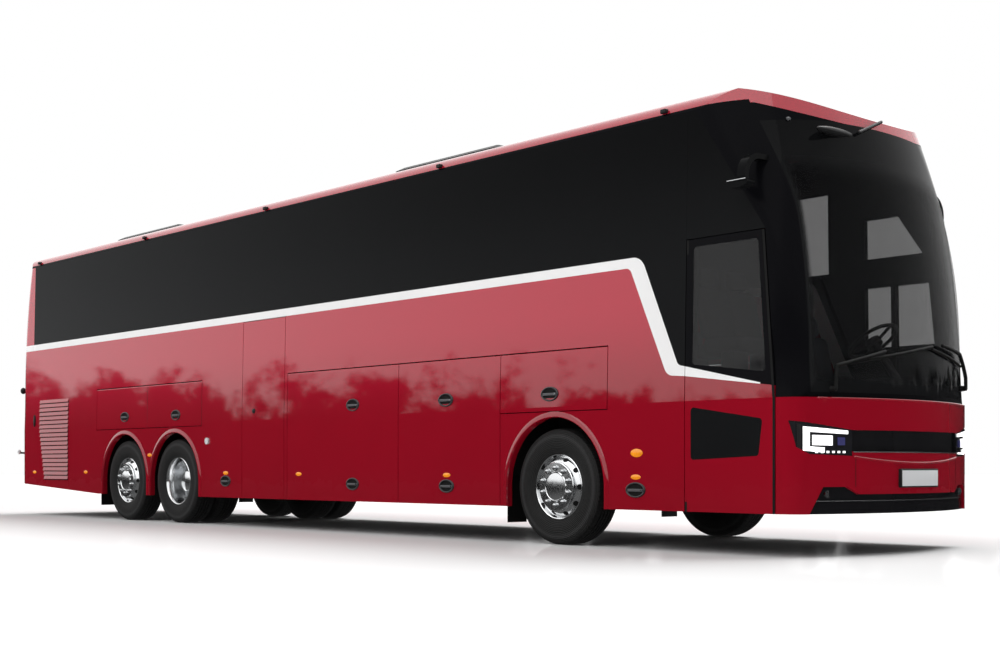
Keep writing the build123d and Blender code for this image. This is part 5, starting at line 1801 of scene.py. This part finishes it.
@dataclass(frozen=True)
class Saloon:
    """Stuffed seats that stand for the plain built ones."""

    width: float = 0.43
    in_y: float = 0.245
    out_y: float = 1.105
    foot_z: float = 1.48
    rear_x: float = -6.27
    pitch: float = 0.83
    rows: int = 14
    stair_rows: tuple[int, ...] = (6, 7)
    driver_foot: tuple[float, float, float] = (5.56, 0.61, 0.95)
    fill: float = 0.7
    pads: tuple[SeatBlock, ...] = (
        SeatBlock((0.02, 0.47), (0.30, 0.43)),
        SeatBlock((0.0, 0.11), (0.42, 0.93), 1.0, 0.235),
        SeatBlock((-0.115, -0.02), (0.935, 1.12), 0.62, 0.235),
    )
    stand: tuple[SeatBlock, ...] = (
        SeatBlock((0.08, 0.40), (0.0, 0.05), round_=0.006),
        SeatBlock((0.16, 0.32), (0.04, 0.31), 0.5, round_=0.01),
    )

    def block(self, mesh: Mesh, block: SeatBlock, foot: Vector) -> None:
        """Add one rounded block.

        Args:
            mesh: the mesh to add to.
            block: its form.
            foot: the seat's foot.
        """
        before = set(mesh.bm.verts)
        half = self.width / 2 * block.share
        mesh.box((block.x[0], -half, block.z[0]), (block.x[1], half, block.z[1]), block.round_)
        for vert in set(mesh.bm.verts) - before:
            vert.co.x -= block.lean * (vert.co.z - block.z[0])
            vert.co += foot

    def seat(self, pads: Mesh, frames: Mesh, foot: Vector) -> None:
        """Add one seat: cushion, back, headrest and stand.

        Args:
            pads: the mesh of the stuffed parts.
            frames: the mesh of the stiff parts.
            foot: the point on the floor below its back.
        """
        for block in self.pads:
            self.block(pads, block, foot)
        for block in self.stand:
            self.block(frames, block, foot)

    def build(self) -> None:
        """Make every row and the driver's seat."""
        pads, frames = Mesh(), Mesh()
        middles = [self.in_y + self.width / 2, self.out_y - self.width / 2]
        for row in range(self.rows):
            x = self.rear_x + row * self.pitch
            for side in Side:
                if side is Side.RIGHT and row in self.stair_rows:
                    continue
                for middle in middles:
                    self.seat(pads, frames, Vector((x, side.value * middle, self.foot_z)))
        self.seat(pads, frames, Vector(self.driver_foot))
        made = pads.piece("seat_pads", "coach", FABRIC, "seat_fabric", 60)
        frames.piece("seat_frames", "coach", BLACK_TRIM, "trim_black")
        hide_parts("seats")


@dataclass(frozen=True)
class Sun:
    """A broad soft light from far away, its spread and turn in degrees."""

    name: str
    energy: float
    spread: float
    turn: tuple[float, float, float]


@dataclass(frozen=True)
class Studio:
    """Floor, light and camera."""

    lens_mm: float = 51.53
    sensor_mm: float = 36.0
    camera_at: tuple[float, float, float] = (13.269, -10.222, 0.703)
    azimuth: float = 47.85
    horizon_px: float = 466.4
    view_end: float = 500.0
    suns: tuple[Sun, ...] = (
        Sun("back_light", 1.9, 36.0, (-27.0, 4.0, 0.0)), Sun("front_light", 0.7, 60.0, (40.0, 4.0, -5.0)),
    )
    zenith: float = 0.85
    horizon: float = 0.45
    front_shade: float = 0.85
    full_at: float = 0.9
    mirrored_sky: float = 1.27
    mirrored_far: float = 0.015
    mirrored_near: float = 0.12
    near_from: float = -0.02
    near_to: float = -0.25
    hedge: float = 0.066
    hedge_soft: float = 0.024
    hedge_rough: float = 0.16
    hedge_scale: float = 26.0
    hedge_detail: float = 8.0
    hedge_twigs: float = 0.62
    floor_half: float = 90.0
    floor_grey: Colour = (0.93, 0.93, 0.93)
    floor_white: Colour = (0.95, 0.95, 0.95)
    floor_shine: float = 0.2
    floor_blur: float = 0.04
    shine_near_y: tuple[float, float] = (-7.5, -1.3)
    shine_far_y: tuple[float, float] = (4.0, 0.5)

    def build(self) -> None:
        """Set the stage."""
        self.camera()
        self.world()
        self.lamps()
        self.floor()

    def camera(self) -> None:
        """Stand the camera where the picture was taken, level, with a raised view."""
        data = bpy.data.cameras.new("camera")
        data.sensor_width = self.sensor_mm
        data.lens = self.lens_mm
        data.shift_y = (self.horizon_px - IMAGE_HEIGHT / 2) / IMAGE_WIDTH
        data.clip_end = self.view_end
        made = bpy.data.objects.new("camera", data)
        made.location = Vector(self.camera_at) + Vector((DATUM_X, 0.0, 0.0))
        made.rotation_euler = (pi / 2, 0.0, radians(self.azimuth))
        bpy.context.scene.collection.objects.link(made)
        bpy.context.scene.camera = made

    def world(self) -> None:
        """Light softly from all round, white where it is seen, with a dark skyline in reflections."""
        world = bpy.data.worlds.new("studio")
        world.use_nodes = True
        tree = world.node_tree
        path = tree.nodes.new("ShaderNodeLightPath")
        glossy, seen, through = (
            Signal(tree, path.outputs[f"Is {kind} Ray"]) for kind in ("Glossy", "Camera", "Transmission")
        )
        height = self.direction(tree, 2)
        ahead = self.direction(tree, 0).rise(0.0, self.full_at) * self.front_shade
        low, high = self.glow(tree, self.horizon), self.glow(tree, self.zenith)
        lit = self.blend(tree, height.rise(0.0, self.full_at), low, high)
        lit = self.blend(tree, ahead, lit, self.glow(tree, 0.0))
        far, near = self.glow(tree, self.mirrored_far), self.glow(tree, self.mirrored_near)
        ground = self.blend(tree, height.rise(self.near_from, self.near_to), far, near)
        sky = self.glow(tree, self.mirrored_sky)
        mirrored = self.blend(tree, self.skyline(tree, height), ground, sky)
        lit = self.blend(tree, glossy, lit, mirrored)
        lit = self.blend(tree, seen.either(through), lit, self.glow(tree, 1.0))
        tree.links.new(lit, tree.nodes["World Output"].inputs[0])
        bpy.context.scene.world = world

    def glow(self, tree: bpy.types.NodeTree, strength: float) -> bpy.types.NodeSocket:
        """Return an even white background.

        Args:
            tree: the world's nodes.
            strength: how bright it is.

        Returns:
            The background.
        """
        made = tree.nodes.new("ShaderNodeBackground")
        made.inputs["Color"].default_value = (1, 1, 1, 1)
        made.inputs["Strength"].default_value = strength
        return made.outputs[0]

    def blend(
        self, tree: bpy.types.NodeTree, share: Signal, first: bpy.types.NodeSocket,
        second: bpy.types.NodeSocket,
    ) -> bpy.types.NodeSocket:
        """Return two backgrounds mixed by a share.

        Args:
            tree: the world's nodes.
            share: how much of the second shows.
            first: the one background.
            second: the other.

        Returns:
            The mixed background.
        """
        made = tree.nodes.new("ShaderNodeMixShader")
        for number, socket in enumerate((share.socket, first, second)):
            tree.links.new(socket, made.inputs[number])
        return made.outputs[0]

    def direction(self, tree: bpy.types.NodeTree, axis: int) -> Signal:
        """Return how far a ray points along one axis.

        Args:
            tree: the world's nodes.
            axis: 0 for ahead, 2 for up.

        Returns:
            That part of the ray's direction.
        """
        split = tree.nodes.new("ShaderNodeSeparateXYZ")
        tree.links.new(tree.nodes.new("ShaderNodeTexCoord").outputs["Generated"], split.inputs[0])
        return Signal(tree, split.outputs[axis])

    def skyline(self, tree: bpy.types.NodeTree, height: Signal) -> Signal:
        """Return what lies above an uneven line near the horizon.

        Args:
            tree: the world's nodes.
            height: how far up a ray points.

        Returns:
            One above the line and none below it.
        """
        noise = tree.nodes.new("ShaderNodeTexNoise")
        noise.inputs["Scale"].default_value = self.hedge_scale
        noise.inputs["Detail"].default_value = self.hedge_detail
        noise.inputs["Roughness"].default_value = self.hedge_twigs
        tree.links.new(tree.nodes.new("ShaderNodeTexCoord").outputs["Generated"], noise.inputs["Vector"])
        rough = (Signal(tree, noise.outputs[0]) - 0.5) * self.hedge_rough
        return (height + rough).rise(self.hedge, self.hedge + self.hedge_soft)

    def lamps(self) -> None:
        """Hang two broad soft lights, the stronger behind the coach so that its shadow falls forward."""
        for sun in self.suns:
            data = bpy.data.lights.new(sun.name, "SUN")
            data.energy = sun.energy
            data.angle = radians(sun.spread)
            made = bpy.data.objects.new(sun.name, data)
            made.rotation_euler = [radians(part) for part in sun.turn]
            bpy.context.scene.collection.objects.link(made)

    def floor(self) -> None:
        """Lay a pale floor with a faint mirror in it."""
        sheet = Mesh()
        side = 2 * self.floor_half
        sheet.sheet(lambda u, v: ((u - 0.5) * side, (v - 0.5) * side, 0.0), 1, 1, 0.0)
        mesh = bpy.data.meshes.new("floor")
        sheet.bm.to_mesh(mesh)
        sheet.bm.free()
        painter = Painter("studio_floor")
        painter.surface(
            base_color=painter.mix(painter.noise(0.3), self.floor_grey, self.floor_white),
            roughness=1.0,
            specular_ior_level=0.0,
        )
        look = {"Color": (1, 1, 1, 1), "Roughness": self.floor_blur}
        gloss = painter.node("ShaderNodeBsdfGlossy", None, look, "BSDF")
        across = painter.place()[1]
        shine = across.rise(*self.shine_near_y) * across.rise(*self.shine_far_y) * self.floor_shine
        plain = Signal(painter.tree, painter.shader.outputs[0])
        mixed = painter.node("ShaderNodeMixShader", None, {0: shine, 1: plain, 2: gloss})
        painter.tree.links.new(mixed.socket, painter.tree.nodes["Material Output"].inputs["Surface"])
        mesh.materials.append(painter.material)
        made = bpy.data.objects.new("floor", mesh)
        bpy.context.scene.collection.objects.link(made)
        made.visible_glossy = False


def main() -> None:
    """Dress the coach and set the studio."""
    logging.basicConfig(level=logging.INFO, format="%(message)s")
    bpy.context.scene.view_settings.view_transform = "Standard"
    Bodywork().dress()
    for side in Side:
        Wheel(f"front_{side.word}", side).build()
        Wheel(f"drive_{side.word}", side, twin=True).build()
        Wheel(f"tag_{side.word}", side).build()
    ArchLips().build()
    SideFittings().build()
    Louvres().build()
    FrontFace().build()
    for wiper in WIPERS:
        wiper.build()
    Upperworks().build()
    Cab().build()
    Saloon().build()
    Studio().build()


if __name__ == "__main__":
    main()
